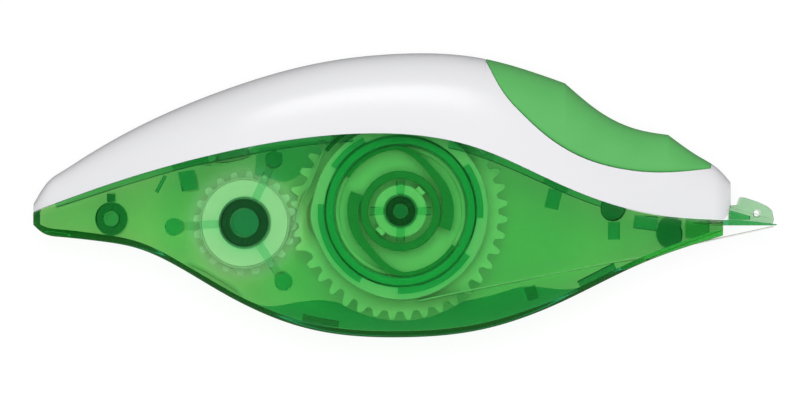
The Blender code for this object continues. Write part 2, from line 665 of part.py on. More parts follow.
def make_drive_gear():
    """Gear disc with a long keyed hub for the clutch and a shoulder that centres the spool."""
    teeth = gear_outline(DRIVE_AXIS, DRIVE_TEETH, DRIVE_TIP_RISE, DRIVE_ROOT_DROP, CENTRES_ANGLE)
    gear = plate("drive_gear", [teeth, circle(DRIVE_AXIS, DRIVE_BORE)], GEAR_FLOOR, GEAR_TOP)
    inside = GEAR_TOP - GEAR_WIDTH / 2
    hub = tube("hub", DRIVE_AXIS, DRIVE_HUB, DRIVE_BORE - CLEAR / 3, inside, SPOOL_TOP)
    shoulder = SPOOL_BORE - CLEAR
    rim = tube("rim", DRIVE_AXIS, shoulder, shoulder - SHOULDER_WALL, inside, GEAR_TOP + SHOULDER_HEIGHT)
    keys = [plate("key", [spoke(DRIVE_AXIS, turn, DRIVE_BORE + CLEAR, DRIVE_HUB + KEY_HEIGHT, KEY_WIDTH)],
                  inside, SPOOL_TOP) for turn in (math.pi / 4, math.pi * 5 / 4)]
    return combine(gear, "UNION", hub, rim, *keys)


def make_clutch_spring():
    """Ring keyed on the hub, with two spiral arms whose shoes press on the bore of the spool."""
    floor = GEAR_TOP + SHOULDER_HEIGHT + CLEAR
    top = floor + CLUTCH_WIDTH
    inner = DRIVE_HUB + CLEAR
    outer = inner + KEY_HEIGHT + CLUTCH_RING_WALL
    ring = tube("clutch_spring", DRIVE_AXIS, outer, inner, floor, top)
    for turn in (math.pi / 4, math.pi * 5 / 4):
        slot = spoke(DRIVE_AXIS, turn, DRIVE_BORE, DRIVE_HUB + KEY_HEIGHT + CLEAR, KEY_WIDTH + 2 * CLEAR)
        combine(ring, "DIFFERENCE", plate("slot", [slot], floor - CLEAR, top + CLEAR))
    shoe = SPOOL_BORE - CLEAR - CLUTCH_ARM / 2
    root = outer - CLUTCH_ARM / 2
    turn = np.linspace(ARM_FROM, SHOE_TO, FACETS)
    radius = root + (shoe - root) * np.clip((turn - ARM_FROM) / (SHOE_FROM - ARM_FROM), 0, 1)
    for start in (0, math.pi):
        path = np.column_stack((DRIVE_AXIS[0] + radius * np.cos(turn + start),
                                DRIVE_AXIS[1] + radius * np.sin(turn + start)))
        combine(ring, "UNION", plate("arm", [band(path, CLUTCH_ARM)], floor, top))
    return ring


def make_supply_spool():
    """Core that the fresh tape is wound on."""
    return tube("supply_spool", DRIVE_AXIS, SPOOL_RADIUS, SPOOL_BORE, SPOOL_FLOOR, SPOOL_TOP)


def make_tape_roll():
    """Wound fresh tape."""
    return tube("tape_roll", DRIVE_AXIS, ROLL_RADIUS, ROLL_BORE, TAPE_FLOOR, TAPE_TOP)


def make_takeup_reel():
    """Small gear with the drum that the used film winds on."""
    phase = CENTRES_ANGLE + math.pi + math.pi / TAKEUP_TEETH
    teeth = gear_outline(TAKEUP_AXIS, TAKEUP_TEETH, TAKEUP_TIP_RISE, TAKEUP_ROOT_DROP, phase)
    reel = plate("takeup_reel", [teeth, circle(TAKEUP_AXIS, TAKEUP_BORE)], GEAR_FLOOR, GEAR_TOP)
    inside = GEAR_TOP - GEAR_WIDTH / 2
    drum = tube("drum", TAKEUP_AXIS, TAKEUP_DRUM, TAKEUP_BORE - CLEAR / 3, inside, SPOOL_TOP)
    return combine(reel, "UNION", drum)


def make_liner_wrap():
    """Used film on the drum."""
    return tube("liner_wrap", TAKEUP_AXIS, WRAP_RADIUS, WRAP_INNER, TAPE_FLOOR, TAPE_TOP)


def make_fresh_tape():
    """Strand from under the roll, round the lower post, to the pressing edge."""
    roll = ROLL_RADIUS + STRAND_OFFSET
    bend = LOWER_POST_RADIUS + STRAND_OFFSET
    end = TIP_EDGE - (CLEAR, 2 * STRAND_OFFSET)
    leave, meet = tangent(DRIVE_AXIS, roll, LOWER_POST, bend, -1)
    depart, _ = tangent(LOWER_POST, bend, end, 0, -1)
    path = np.vstack((leave, around(LOWER_POST, bend, meet, depart), end))
    return plate("fresh_tape", [band(path, TAPE_THICK)], TAPE_FLOOR, TAPE_TOP)


def make_return_liner():
    """Bare film from the edge over the plate and the guide, down to the take-up drum."""
    start, meet = liner_run()
    leave, end = liner_drop()
    over_guide = around(DRIVE_AXIS, GUIDE_RADIUS + STRAND_OFFSET, meet, leave)
    path = np.vstack((start, over_guide, end))
    return plate("return_liner", [band(path, TAPE_THICK)], TAPE_FLOOR, TAPE_TOP)


# Finishes and assembly

def finish(name, colour, roughness, alpha=1.0):
    """Principled material of one plain colour."""
    material = bpy.data.materials.new(name)
    material.use_nodes = True
    shader = material.node_tree.nodes["Principled BSDF"]
    shader.inputs["Base Color"].default_value = (*colour, 1)
    shader.inputs["Roughness"].default_value = roughness
    shader.inputs["Alpha"].default_value = alpha
    return material


def axis_empty(name, centre):
    """Empty on an axle, carrying the pieces that turn on it."""
    empty = bpy.data.objects.new(name, None)
    empty.location = (centre[0], centre[1], GEAR_FLOOR)
    parts.objects.link(empty)
    return empty


clear_green = finish("clear_green_polystyrene", (0.05, 0.45, 0.07), 0.15, 0.5)
white_gloss = finish("white_abs", (0.85, 0.85, 0.87), 0.2)
green_rubber = finish("green_rubber", (0.10, 0.46, 0.12), 0.5)
pale_acetal = finish("natural_acetal", (0.80, 0.85, 0.78), 0.4)
green_acetal = finish("green_acetal", (0.10, 0.55, 0.15), 0.4)
coated_tape = finish("white_coated_film", (0.90, 0.90, 0.88), 0.6)
bare_film = finish("clear_film", (0.75, 0.78, 0.75), 0.3, 0.6)

drive_axis = axis_empty("drive_axis", DRIVE_AXIS)
takeup_axis = axis_empty("takeup_axis", TAKEUP_AXIS)
pieces = [
    (make_back_shell(), clear_green, None),
    (make_front_shell(), clear_green, None),
    (make_top_cover(), white_gloss, None),
    (make_finger_grip(), green_rubber, None),
    (make_applicator_tip(), clear_green, None),
    (make_drive_gear(), pale_acetal, drive_axis),
    (make_clutch_spring(), green_acetal, drive_axis),
    (make_supply_spool(), pale_acetal, drive_axis),
    (make_tape_roll(), coated_tape, drive_axis),
    (make_takeup_reel(), pale_acetal, takeup_axis),
    (make_liner_wrap(), bare_film, takeup_axis),
    (make_fresh_tape(), coated_tape, None),
    (make_return_liner(), bare_film, None),
]
bpy.context.view_layer.update()
for piece, material, axle in pieces:
    piece.data.materials.clear()
    piece.data.materials.append(material)
    piece.data.shade_smooth()
    piece.data.set_sharp_from_angle(angle=math.radians(30))
    if axle:
        piece.parent = axle
        piece.matrix_parent_inverse = axle.matrix_world.inverted()
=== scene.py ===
# %% [markdown]
# # A correction tape dispenser, dressed for the camera
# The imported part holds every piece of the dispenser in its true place, with real axles and gears.
# Its curved walls are made of flat facets, and a clear plastic shows every one of them. So the walls
# are worked out again here as fine surfaces from the same curves, and each gets the plastic it is made of.

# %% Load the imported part
import json
import math

import bmesh
import bpy
import numpy as np
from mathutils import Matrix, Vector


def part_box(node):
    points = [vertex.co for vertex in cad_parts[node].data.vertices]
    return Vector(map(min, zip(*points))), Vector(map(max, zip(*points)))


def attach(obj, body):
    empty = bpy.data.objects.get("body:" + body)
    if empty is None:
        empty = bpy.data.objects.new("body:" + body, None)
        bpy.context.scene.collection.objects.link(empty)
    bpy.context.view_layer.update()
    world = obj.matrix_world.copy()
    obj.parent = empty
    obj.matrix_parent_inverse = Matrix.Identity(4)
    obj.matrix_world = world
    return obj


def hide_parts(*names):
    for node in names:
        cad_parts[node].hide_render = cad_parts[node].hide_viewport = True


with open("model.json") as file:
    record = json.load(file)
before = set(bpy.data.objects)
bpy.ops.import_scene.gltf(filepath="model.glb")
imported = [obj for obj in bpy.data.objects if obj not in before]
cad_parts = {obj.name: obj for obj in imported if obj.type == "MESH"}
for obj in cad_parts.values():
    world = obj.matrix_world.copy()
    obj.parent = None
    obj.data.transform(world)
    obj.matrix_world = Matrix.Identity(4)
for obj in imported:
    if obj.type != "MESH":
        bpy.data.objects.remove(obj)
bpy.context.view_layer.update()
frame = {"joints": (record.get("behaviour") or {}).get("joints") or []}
MM = 0.001

# %% [markdown]
# The axles and the layers of the mechanism could be typed in again, but the frame already knows them.
# Reading them keeps each new piece on the solid that it stands for. Shapes here are in millimetres, and
# Z = 0 is the panel that the dispenser lies on.

# %% Axles and layers from the frame
axles = {joint["name"]: np.array(joint["pos_m"][:2]) / MM for joint in frame["joints"]}
drive_axle, takeup_axle = axles["drive_spin"], axles["takeup_spin"]


def layer(node):
    """Lowest and highest Z of a CAD node, in millimetres."""
    low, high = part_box(node)
    return low.z / MM, high.z / MM


CLEAR = 0.3
gear_floor = layer("drive_gear")[0]
spool_floor, spool_top = layer("supply_spool")
tape_floor, tape_top = layer("tape_roll")
clutch_floor, clutch_top = layer("clutch_spring")
gear_top = spool_floor - CLEAR
thickness = layer("front_shell")[1]
HALF = thickness / 2
levels = (gear_floor, gear_top, spool_floor, spool_top)
print("gear and spool from and to, mm:", [round(level, 2) for level in levels])

# %% [markdown]
# The side view of the dispenser is drawn by a few smooth lines: the seam between the green case and the
# white cover, the belly, and the back of the cover. A curve object could hold them, but a natural
# cubic through a few points can be read at any x, which is what a surface on a grid needs.


# %% Curves through points
def spline(points):
    """Natural cubic: the straight mix of two heights plus a bow that keeps the bend continuous."""
    x, y = np.array(points, float).T
    step = np.diff(x)
    inside = np.arange(1, len(x) - 1)
    system = np.eye(len(x))
    system[inside, inside - 1] = step[:-1]
    system[inside, inside] = 2 * (step[:-1] + step[1:])
    system[inside, inside + 1] = step[1:]
    right = np.zeros(len(x))
    right[1:-1] = 6 * np.diff(np.diff(y) / step)
    bend = np.linalg.solve(system, right)

    def curve(at):
        at = np.clip(np.asarray(at, float), x[0], x[-1])
        i = np.clip(np.searchsorted(x, at) - 1, 0, len(x) - 2)
        far = (at - x[i]) / step[i]
        near = 1 - far
        bow = (near ** 3 - near) * bend[i] + (far ** 3 - far) * bend[i + 1]
        return near * y[i] + far * y[i + 1] + bow * step[i] ** 2 / 6

    return curve


seam = spline([(-61.7, -2.7), (-50.7, 1.3), (-30.7, 7.0), (-5.7, 10.3), (12.7, 7.7), (26.0, 1.8),
               (39.3, -2.7), (53.0, -4.0)])
belly_share = spline([(-61.7, 0), (-60.3, 0.066), (-57.3, 0.109), (-50.7, 0.143), (-44.0, 0.210),
                      (-30.7, 0.593), (-17.3, 0.913), (-0.6, 1), (12.7, 0.918), (26.0, 0.650),
                      (39.3, 0.277), (53.0, 0)])
swell = spline([(-61.7, -3.8), (-50.0, -1.7), (-38.0, 0.0), (-5.0, 1.85), (20.0, 0.7), (29.2, 0.0),
                (40.0, -1.1), (54.6, -2.6)])
crown_rear = spline([(-61.7, -1.3), (-60.6, 0.6), (-59.2, 2.5), (-57.3, 3.9), (-54.0, 6.0), (-44.0, 11.7),
                     (-30.7, 17.4), (-14.0, 22.2), (-0.7, 23.7), (13.2, 22.9), (26.8, 18.8)])
finger_rest = spline([(26.8, 18.8), (32.7, 14.0), (39.3, 11.0), (44.0, 10.2)])
crown_nose = spline([(44.0, 10.2), (49.3, 6.5), (52.7, 4.2), (54.6, 2.0)])
grip_edge = spline([(13.5, 23.0), (16.0, 18.2), (19.3, 14.2), (22.7, 11.0), (29.3, 6.8), (36.0, 4.8),
                    (42.7, 4.2), (51.3, 4.9)])
print("seam over the drive axle, mm:", round(float(seam(drive_axle[0])), 2))

# %% [markdown]
# Across its width the case is a swelling bowl cut off by a flat panel. The panel meets the bowl in an
# almond-shaped line that catches the light. A plain minimum of bowl and panel would make that line a hard
# fold, so a soft minimum rounds it by a few tenths of a millimetre, as the mould does.

# %% Width of the case
TAIL, NOSE, COVER_NOSE = -61.7, 53.0, 54.6
TAIL_BELLY, NOSE_BELLY, BELLY_LOW = -4.8, -6.6, -23.5
UNDERSIDE, UNDERSIDE_LIMIT = 4.2, 0.8
SWELL_AT, SWELL_POWER, SHOULDER_DROP = 0.72, 2.2, 1.2
END_REACH, END_FLAT = 3.0, 0.6
CREASE = 0.35


def belly(x):
    """Chord from tail to nose, sunk by a share of the depth that the drive gear needs."""
    def chord(at):
        return TAIL_BELLY + (NOSE_BELLY - TAIL_BELLY) * (at - TAIL) / (NOSE - TAIL)
    return chord(x) + (BELLY_LOW - chord(drive_axle[0])) * belly_share(x)


def plan_round(x):
    """Quarter ellipse that narrows both ends to a share of the full width."""
    share = np.clip(np.minimum(x - TAIL, COVER_NOSE - x) / END_REACH, 0, 1)
    return np.sqrt(END_FLAT ** 2 + (1 - END_FLAT ** 2) * (1 - (1 - share) ** 2))


def underside_half(x):
    """Half-width of the level strip along the belly."""
    return np.minimum(UNDERSIDE, UNDERSIDE_LIMIT * (HALF + swell(x)))


def bowl(x, y, low, wall, start=0):
    """Power curve up to the widest line, a shoulder above it, and the soft minimum with the panel."""
    share = np.clip((y - low + start) / (seam(x) - low + start), 0, 1)
    foot = underside_half(x) - wall / 2
    rise = np.sqrt(1 - np.clip(1 - share / SWELL_AT, 0, 1) ** SWELL_POWER)
    past = np.clip((share - SWELL_AT) / (1 - SWELL_AT), 0, 1)
    over = foot + (HALF + swell(x) - wall - foot) * rise - SHOULDER_DROP * past ** 2 - (HALF - wall)
    blend = np.clip(0.5 - over / (2 * CREASE), 0, 1)
    return (HALF - wall + over * blend - CREASE * blend * (1 - blend)) * plan_round(x)


def case_half(x, y):
    """Outer half-width of the case."""
    return bowl(x, y, belly(x), 0)


print("half-width over the drive axle, mm:", round(float(case_half(*drive_axle)), 2))

# %% [markdown]
# Every new piece is a grid of points: rows along one parameter, columns along the other. Blender's
# primitives and Booleans could make some of them, but a grid keeps the faces even, so the shading stays
# smooth. A row that shrinks to one point closes an end, because doubled points are merged afterwards.

# %% From grids to objects
MERGE_WITHIN, BEVEL_SEGMENTS, BEVEL_ANGLE = 1e-6, 2, 40


def sheet(points, close_rows=False, close_columns=False):
    """Quads of a grid: (i, j), (i+1, j), (i+1, j+1) and (i, j+1), going round where it is closed."""
    rows, columns = points.shape[:2]
    index = np.arange(rows * columns).reshape(rows, columns)
    if close_rows:
        index = np.vstack((index, index[:1]))
    if close_columns:
        index = np.column_stack((index, index[:, :1]))
    corners = (index[:-1, :-1], index[1:, :-1], index[1:, 1:], index[:-1, 1:])
    return points.reshape(-1, 3), np.stack(corners, axis=-1).reshape(-1, 4)


def piece(name, islands, material, body, slot, *nodes, crease=30, bevel=0):
    """One object from closed islands, in place of its CAD nodes, turned outwards and riding on a body."""
    counts = np.cumsum([0] + [len(points) for points, _ in islands])
    points = np.concatenate([points for points, _ in islands]) * MM
    quads = np.concatenate([quads + start for (_, quads), start in zip(islands, counts)])
    mesh = bpy.data.meshes.new(name)
    mesh.from_pydata(points.tolist(), [], quads.tolist())
    shape = bmesh.new()
    shape.from_mesh(mesh)
    bmesh.ops.remove_doubles(shape, verts=shape.verts, dist=MERGE_WITHIN)
    bmesh.ops.recalc_face_normals(shape, faces=shape.faces)
    shape.to_mesh(mesh)
    shape.free()
    mesh.shade_smooth()
    mesh.set_sharp_from_angle(angle=math.radians(crease))
    mesh.materials.append(material)
    made = bpy.data.objects.new(name, mesh)
    bpy.context.scene.collection.objects.link(made)
    if bevel:
        round_edges = made.modifiers.new("rounded edges", "BEVEL")
        round_edges.width = bevel * MM
        round_edges.segments = BEVEL_SEGMENTS
        round_edges.limit_method = "ANGLE"
        round_edges.angle_limit = math.radians(BEVEL_ANGLE)
    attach(made, body)
    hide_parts(*nodes)
    print(f"{name}: {len(islands)} islands, {len(mesh.polygons)} faces")


# %% [markdown]
# Turned pieces such as posts, rings and gears are one section carried round an axle. Where the radius
# changes with the angle, the same grid gives gear teeth. Ribs, arms and tape strands are one small section
# carried along a path. Small bevels on every section stand for the rounding that a mould leaves.

# %% Turned pieces and strips
BEVEL, BEVEL_SHARE, ROUND_STEPS = 0.12, 0.4, 96
ROUND = np.linspace(0, 2 * math.pi, ROUND_STEPS, endpoint=False)


def turned(centre, radius, bore, floor, top, turn=ROUND, bevel=BEVEL):
    """Point (t, j) = centre + reach j along the direction of turn t, at height j of a ring's section."""
    radius = np.broadcast_to(radius, turn.shape)
    inner = np.full(turn.shape, bore)
    lead = bevel if bore else 0
    section = [(radius, floor + bevel), (radius, top - bevel), (radius - bevel, top), (inner + lead, top),
               (inner, top - lead), (inner, floor + lead), (inner + lead, floor), (radius - bevel, floor)]
    reach = np.stack([r for r, _ in section], axis=1)
    height = np.broadcast_to([z for _, z in section], reach.shape)
    points = np.stack((centre[0] + reach * np.cos(turn)[:, None],
                       centre[1] + reach * np.sin(turn)[:, None], height), axis=2)
    return sheet(points, close_rows=True, close_columns=True)


def closed_ends(points):
    """The grid with its first and last rows drawn together to their middles."""
    ends = [np.broadcast_to(row.mean(axis=0), row.shape)[None] for row in (points[0], points[-1])]
    return np.concatenate((ends[0], points, ends[1]))


def strip(path, width, floor, top, bevel=BEVEL):
    """Point (s, j) = path point s plus corner j of a bevelled rectangle, laid across the path."""
    path = np.asarray(path, float)
    along = np.gradient(path, axis=0)
    along /= np.linalg.norm(along, axis=1)[:, None]
    across = np.column_stack((-along[:, 1], along[:, 0]))
    half = width / 2
    bevel = min(bevel, BEVEL_SHARE * half)
    slim = half - bevel
    floor, top = (np.broadcast_to(level, len(path)) for level in (floor, top))
    side = np.array((half, half, slim, -slim, -half, -half, -slim, slim))
    levels = (floor + bevel, top - bevel, top, top, top - bevel, floor + bevel, floor, floor)
    plan = path[:, None] + across[:, None] * side[None, :, None]
    return sheet(closed_ends(np.dstack((plan, np.stack(levels, axis=1)))), close_columns=True)


def ribbon(one_edge, other_edge, floor, top):
    """Point (s, j) = corner j of the upright rectangle between station s of two edges."""
    corners = [np.column_stack((edge, np.full(len(edge), z)))
               for edge, z in ((one_edge, floor), (one_edge, top), (other_edge, top), (other_edge, floor))]
    return sheet(closed_ends(np.stack(corners, axis=1)), close_columns=True)


def prism(outline, floor, top):
    """Upright walls on an outline, each end drawn together to the outline's middle."""
    outline = np.asarray(outline, float)
    levels = [np.column_stack((outline, np.full(len(outline), z))) for z in (floor, top)]
    return sheet(closed_ends(np.stack(levels)), close_columns=True)


def arc(centre, radius, start, end, count=40):
    """Points on a circle between two angles in degrees."""
    turn = np.radians(np.linspace(start, end, count))
    return np.column_stack((centre[0] + radius * np.cos(turn), centre[1] + radius * np.sin(turn)))


def outward(centre, angle, inner, outer, count=6):
    """Straight path away from a centre, at an angle in degrees."""
    reach = np.linspace(inner, outer, count)[:, None]
    turn = math.radians(angle)
    return centre + reach * np.array((math.cos(turn), math.sin(turn)))


print("sides of a turned piece:", ROUND_STEPS)

# %% [markdown]
# Colours are written as sRGB hex, the way a paint picker shows them, and one function turns them to the
# linear light that shaders need. Node trees are short, so one small function that adds a node with its
# settings and links is enough.


# %% Colour and node helpers
def linear(code):
    """Each channel over 255: over 12.92 up to 0.04045, and ((c + 0.055) / 1.055) to the 2.4 above it."""
    channel = np.array([int(code[i:i + 2], 16) for i in (1, 3, 5)]) / 255
    return (*np.where(channel <= 0.04045, channel / 12.92, ((channel + 0.055) / 1.055) ** 2.4), 1)


def add(tree, kind, sockets=None, **settings):
    """One node: settings go to its options, sockets to its inputs, as links where an output is given."""
    made = tree.nodes.new(kind)
    for name, value in settings.items():
        setattr(made, name, value)
    for name, value in (sockets or {}).items():
        if isinstance(value, bpy.types.NodeSocket):
            tree.links.new(value, made.inputs[name])
        else:
            made.inputs[name].default_value = value
    return made


def empty_material(name):
    """A material whose node tree is empty, and that tree."""
    material = bpy.data.materials.new(name)
    material.use_nodes = True
    material.node_tree.nodes.clear()
    return material, material.node_tree


def per_mm(size):
    """Texture scale whose features are about this many millimetres wide."""
    return 1 / (size * MM)


print("middle grey in linear light:", round(float(linear("#808080")[0]), 3))

# %% [markdown]
# The case is general-purpose polystyrene, injection moulded in a green that one looks through. Its colour
# comes from depth: a thin wall is a fresh green, and a post seen end-on is nearly black. A tinted glass
# shader would colour both alike, so red is taken away per millimetre by a volume, and only a yellow cast
# stays on the surface. On the front half the cast pales over the take-up reel: painted light, a pool of
# light that makes the reel seen through it brighter. Light that was mirrored several times ends in a haze,
# as no moulding is quite clear inside. Shadow rays pass straight through, which is how soft light reaches
# the gears.

# %% Clear green polystyrene
POLYSTYRENE_IOR, HAZE, HAZE_AFTER = 1.59, "#8AD07A", 2.5
FLOW_MM, FLOW_DETAIL, FLOW_DRIFT, FLOW_BUMP, FLOW_DEPTH = 6, 2.0, 0.05, 0.08, 0.1 * MM
PATCH_FROM, PATCH_TO = 0.3, 0.7
# Painted light: centre and reach of the paler cast over the take-up reel.
LIT_PATCH_CENTRE, LIT_PATCH_FROM, LIT_PATCH_TO = takeup_axle * MM, 8.4 * MM, 10.4 * MM


def patches(tree, place, size_mm, detail, rough, drift):
    """A cloudy pattern of a size, and a roughness that drifts with it from patch to patch."""
    noise = add(tree, "ShaderNodeTexNoise", {"Vector": place, "Scale": per_mm(size_mm), "Detail": detail})
    cloud = noise.outputs["Fac"]
    gloss = add(tree, "ShaderNodeMapRange", {"Value": cloud, "From Min": PATCH_FROM, "From Max": PATCH_TO,
                                             "To Min": rough, "To Max": rough + drift})
    return cloud, gloss.outputs["Result"]


def lit_patch_fade(tree, place):
    """1 over the take-up reel, falling smoothly to 0 with the distance from it: the mask of the painted
    light.
    """
    flat = add(tree, "ShaderNodeVectorMath", {0: place, 1: (1, 1, 0)}, operation="MULTIPLY")
    away = add(tree, "ShaderNodeVectorMath", {0: flat.outputs[0], 1: (*LIT_PATCH_CENTRE, 0)}, operation="DISTANCE")
    fade = add(tree, "ShaderNodeMapRange", {"Value": away.outputs["Value"], "From Min": LIT_PATCH_FROM,
                                            "From Max": LIT_PATCH_TO, "To Min": 1.0, "To Max": 0.0},
               interpolation_type="SMOOTHSTEP")
    return fade.outputs["Result"]


def clear_polystyrene(name, cast, tint, density_per_mm, rough, lit_patch_cast=None):
    """Polished moulding: a faint flow pattern in its gloss, colour that grows with depth, and, if given,
    painted light over the take-up reel.
    """
    material, tree = empty_material(name)
    place = add(tree, "ShaderNodeTexCoord").outputs["Object"]
    flow, gloss = patches(tree, place, FLOW_MM, FLOW_DETAIL, rough, FLOW_DRIFT)
    ripple = add(tree, "ShaderNodeBump", {"Height": flow, "Strength": FLOW_BUMP, "Distance": FLOW_DEPTH})
    colour = linear(cast)
    # Painted light: over the take-up reel the cast pales to a second colour.
    if lit_patch_cast:
        colour = add(tree, "ShaderNodeMix", {"Factor": lit_patch_fade(tree, place), 6: colour, 7: linear(lit_patch_cast)},
                     data_type="RGBA").outputs[2]
    plastic = add(tree, "ShaderNodeBsdfPrincipled", {
        "Base Color": colour, "Roughness": gloss, "Normal": ripple.outputs["Normal"],
        "IOR": POLYSTYRENE_IOR, "Transmission Weight": 1.0})
    haze = add(tree, "ShaderNodeBsdfDiffuse", {"Color": linear(HAZE)})
    path = add(tree, "ShaderNodeLightPath").outputs
    guided = add(tree, "ShaderNodeMath", {0: path["Glossy Depth"], 1: HAZE_AFTER}, operation="GREATER_THAN")
    solid = add(tree, "ShaderNodeMixShader", {0: guided.outputs[0], 1: plastic.outputs[0],
                                              2: haze.outputs[0]})
    passing = add(tree, "ShaderNodeBsdfTransparent", {"Color": np.sqrt(linear(cast))})
    surface = add(tree, "ShaderNodeMixShader", {0: path["Is Shadow Ray"], 1: solid.outputs[0],
                                                2: passing.outputs[0]})
    depth = add(tree, "ShaderNodeVolumeAbsorption", {"Color": linear(tint), "Density": density_per_mm / MM})
    add(tree, "ShaderNodeOutputMaterial", {"Surface": surface.outputs[0], "Volume": depth.outputs[0]})
    return material


CASE_PLASTIC = {"cast": "#FFFFC6", "tint": "#33EBD8", "density_per_mm": 0.70, "rough": 0.02}
# The front half carries the painted light over the take-up reel.
clear_green = clear_polystyrene("clear_green_polystyrene", **CASE_PLASTIC, lit_patch_cast="#FFFFE6")
clear_back = clear_polystyrene("clear_green_polystyrene_back", **CASE_PLASTIC)
clear_inside = clear_polystyrene("green_polystyrene_inside", cast="#FFFFF2", tint="#33EBDE",
                                 density_per_mm=0.70, rough=0.02)
clear_tip = clear_polystyrene("pale_clear_polystyrene", cast="#F4FFEE", tint="#58EBB8",
                              density_per_mm=0.36, rough=0.03)
red_left = math.exp(-CASE_PLASTIC["density_per_mm"] * (1 - linear(CASE_PLASTIC["tint"])[0]))
print("red light left after 1 mm of the case, %:", round(100 * red_left))

# %% [markdown]
# The cover is ABS, a hard white plastic from a polished mould. White plastic is never one flat white: it
# has a slight cloudiness and its gloss changes from place to place. The grip is a thermoplastic rubber with
# a fine sparked grain, which makes its highlights wide and soft.

# %% White ABS and green rubber
MOULDED_IOR, CLOUD_DETAIL, GRAIN_DETAIL, GRAIN_DEPTH = 1.53, 3.0, 1.0, 0.05 * MM


def moulded(name, pale, dark, cloud_mm, rough, drift, grain_mm, grain):
    """Opaque moulding: clouded colour, gloss that drifts with it, and a grain in the normals."""
    material, tree = empty_material(name)
    place = add(tree, "ShaderNodeTexCoord").outputs["Object"]
    cloud, gloss = patches(tree, place, cloud_mm, CLOUD_DETAIL, rough, drift)
    colour = add(tree, "ShaderNodeMix", {"Factor": cloud, 6: linear(dark), 7: linear(pale)},
                 data_type="RGBA")
    fine = add(tree, "ShaderNodeTexNoise", {"Vector": place, "Scale": per_mm(grain_mm),
                                            "Detail": GRAIN_DETAIL})
    bump = add(tree, "ShaderNodeBump", {"Height": fine.outputs["Fac"], "Strength": grain,
                                        "Distance": GRAIN_DEPTH})
    plastic = add(tree, "ShaderNodeBsdfPrincipled", {
        "Base Color": colour.outputs[2], "Roughness": gloss, "Normal": bump.outputs["Normal"],
        "IOR": MOULDED_IOR})
    add(tree, "ShaderNodeOutputMaterial", {"Surface": plastic.outputs[0]})
    return material


white_abs = moulded("white_abs", "#EBEBEE", "#E8E8EB", cloud_mm=0.12, rough=0.24, drift=0.02,
                    grain_mm=2.5, grain=0.01)
green_rubber = moulded("green_thermoplastic_rubber", "#62BE66", "#5AB660", cloud_mm=5, rough=0.48,
                       drift=0.08, grain_mm=0.35, grain=0.35)
print("opaque so far:", white_abs.name, green_rubber.name)

# %% [markdown]
# Gears that run dry are moulded in acetal, a slippery plastic whose natural colour is a milky white. The
# clutch is the same plastic in a dark green, partly its own colour and partly painted shade for the shade
# round its arms. The tape is film with a dry white coat. The used film that comes back is bare and
# smoother, and it is drawn opaque, because it lies in many turns behind the case.

# %% Acetal and tape
ACETAL = {"cloud_mm": 3, "drift": 0.08, "grain_mm": 0.5, "grain": 0.10}
FILM = {"cloud_mm": 1.5, "drift": 0.08, "grain_mm": 0.3}
natural_acetal = moulded("natural_acetal", "#EEF3E6", "#E2EBDA", rough=0.32, **ACETAL)
white_acetal = moulded("white_acetal", "#FAFAF8", "#F3F5F0", rough=0.32, **ACETAL)
# Darker than the clutch's own green: partly painted shade round its arms.
green_acetal = moulded("green_acetal", "#409E6C", "#369464", rough=0.35, **ACETAL)
coated_tape = moulded("white_coated_film", "#F1EFEA", "#E5E1DC", rough=0.60, grain=0.15, **FILM)
bare_film = moulded("bare_carrier_film", "#EEF1EB", "#E2E8DF", rough=0.25, grain=0.08, **FILM)
print("materials:", len(bpy.data.materials))

# %% [markdown]
# The case halves are bowls with a thin wall. A Solidify modifier could thicken an open surface, but only
# evenly, and at the tail the two skins would cross. So the inner face is the same bowl again, smaller by
# the wall. The wall thins over the take-up reel and towards both ends, where the plastic looks paler. The
# tape leaves through a slot in the underside.

# %% Inner face and slot
WALL, INNER_START, HAIR = 1.35, 0.9, 0.04
HOLLOW_DEPTH, HOLLOW_FROM, HOLLOW_TO = 0.6, 8.0, 12.5
THIN_TAIL, THIN_NOSE, THIN_ABOUT, THIN_FROM, THIN_TO = 0.35, 0.12, -5.0, 30.0, 38.0
TAPE_SLOT_FROM, TAPE_SLOT_RAMP, SLOT_HALF, SLOT_MARGIN = 36.0, 4.0, 3.1, 2 * WALL / 3


def inner_half(x, y):
    """The bowl again, smaller by the wall, which thins by half cosines over the reel and to both ends."""
    from_reel = np.hypot(x - takeup_axle[0], y - takeup_axle[1])
    near = np.clip((from_reel - HOLLOW_FROM) / (HOLLOW_TO - HOLLOW_FROM), 0, 1)
    ends = np.clip((np.abs(x - THIN_ABOUT) - THIN_FROM) / (THIN_TO - THIN_FROM), 0, 1)
    thin = np.where(x < THIN_ABOUT, THIN_TAIL, THIN_NOSE)
    hollow = HOLLOW_DEPTH * (1 + np.cos(math.pi * near)) / 2 + thin * (1 - np.cos(math.pi * ends)) / 2
    return bowl(x, y, belly(x) + WALL, WALL, INNER_START) + hollow


def slot_half(x):
    """Half-width of the tape's slot, which opens from a point and stays clear of the corners."""
    corner = underside_half(x) * plan_round(x)
    opening = np.clip((x - TAPE_SLOT_FROM) / TAPE_SLOT_RAMP, 0, 1)
    return opening * np.minimum(SLOT_HALF, corner - SLOT_MARGIN)


def ceiling(x, y):
    """Depth of the wall's inner face from the middle plane, a hair short of touching it."""
    return float(np.min(inner_half(x, y))) - HAIR


def ceiling_round(centre, radius):
    """The same depth all round a circle."""
    return ceiling(*arc(centre, radius, 0, 360).T)


print("inner face over the take-up axle, mm:", round(HALF + ceiling(*takeup_axle), 2))

# %% [markdown]
# Each station along x is one closed ring: the outer line from the parting plane round the underside and up
# to the seam, then the inner line back. In the tail the inner line shrinks to a corner, which makes the end
# wall solid, and at the nose the ring stays open. Rows are crowded where the panel begins and ends, because
# a clear plastic shows a coarse bend at once.

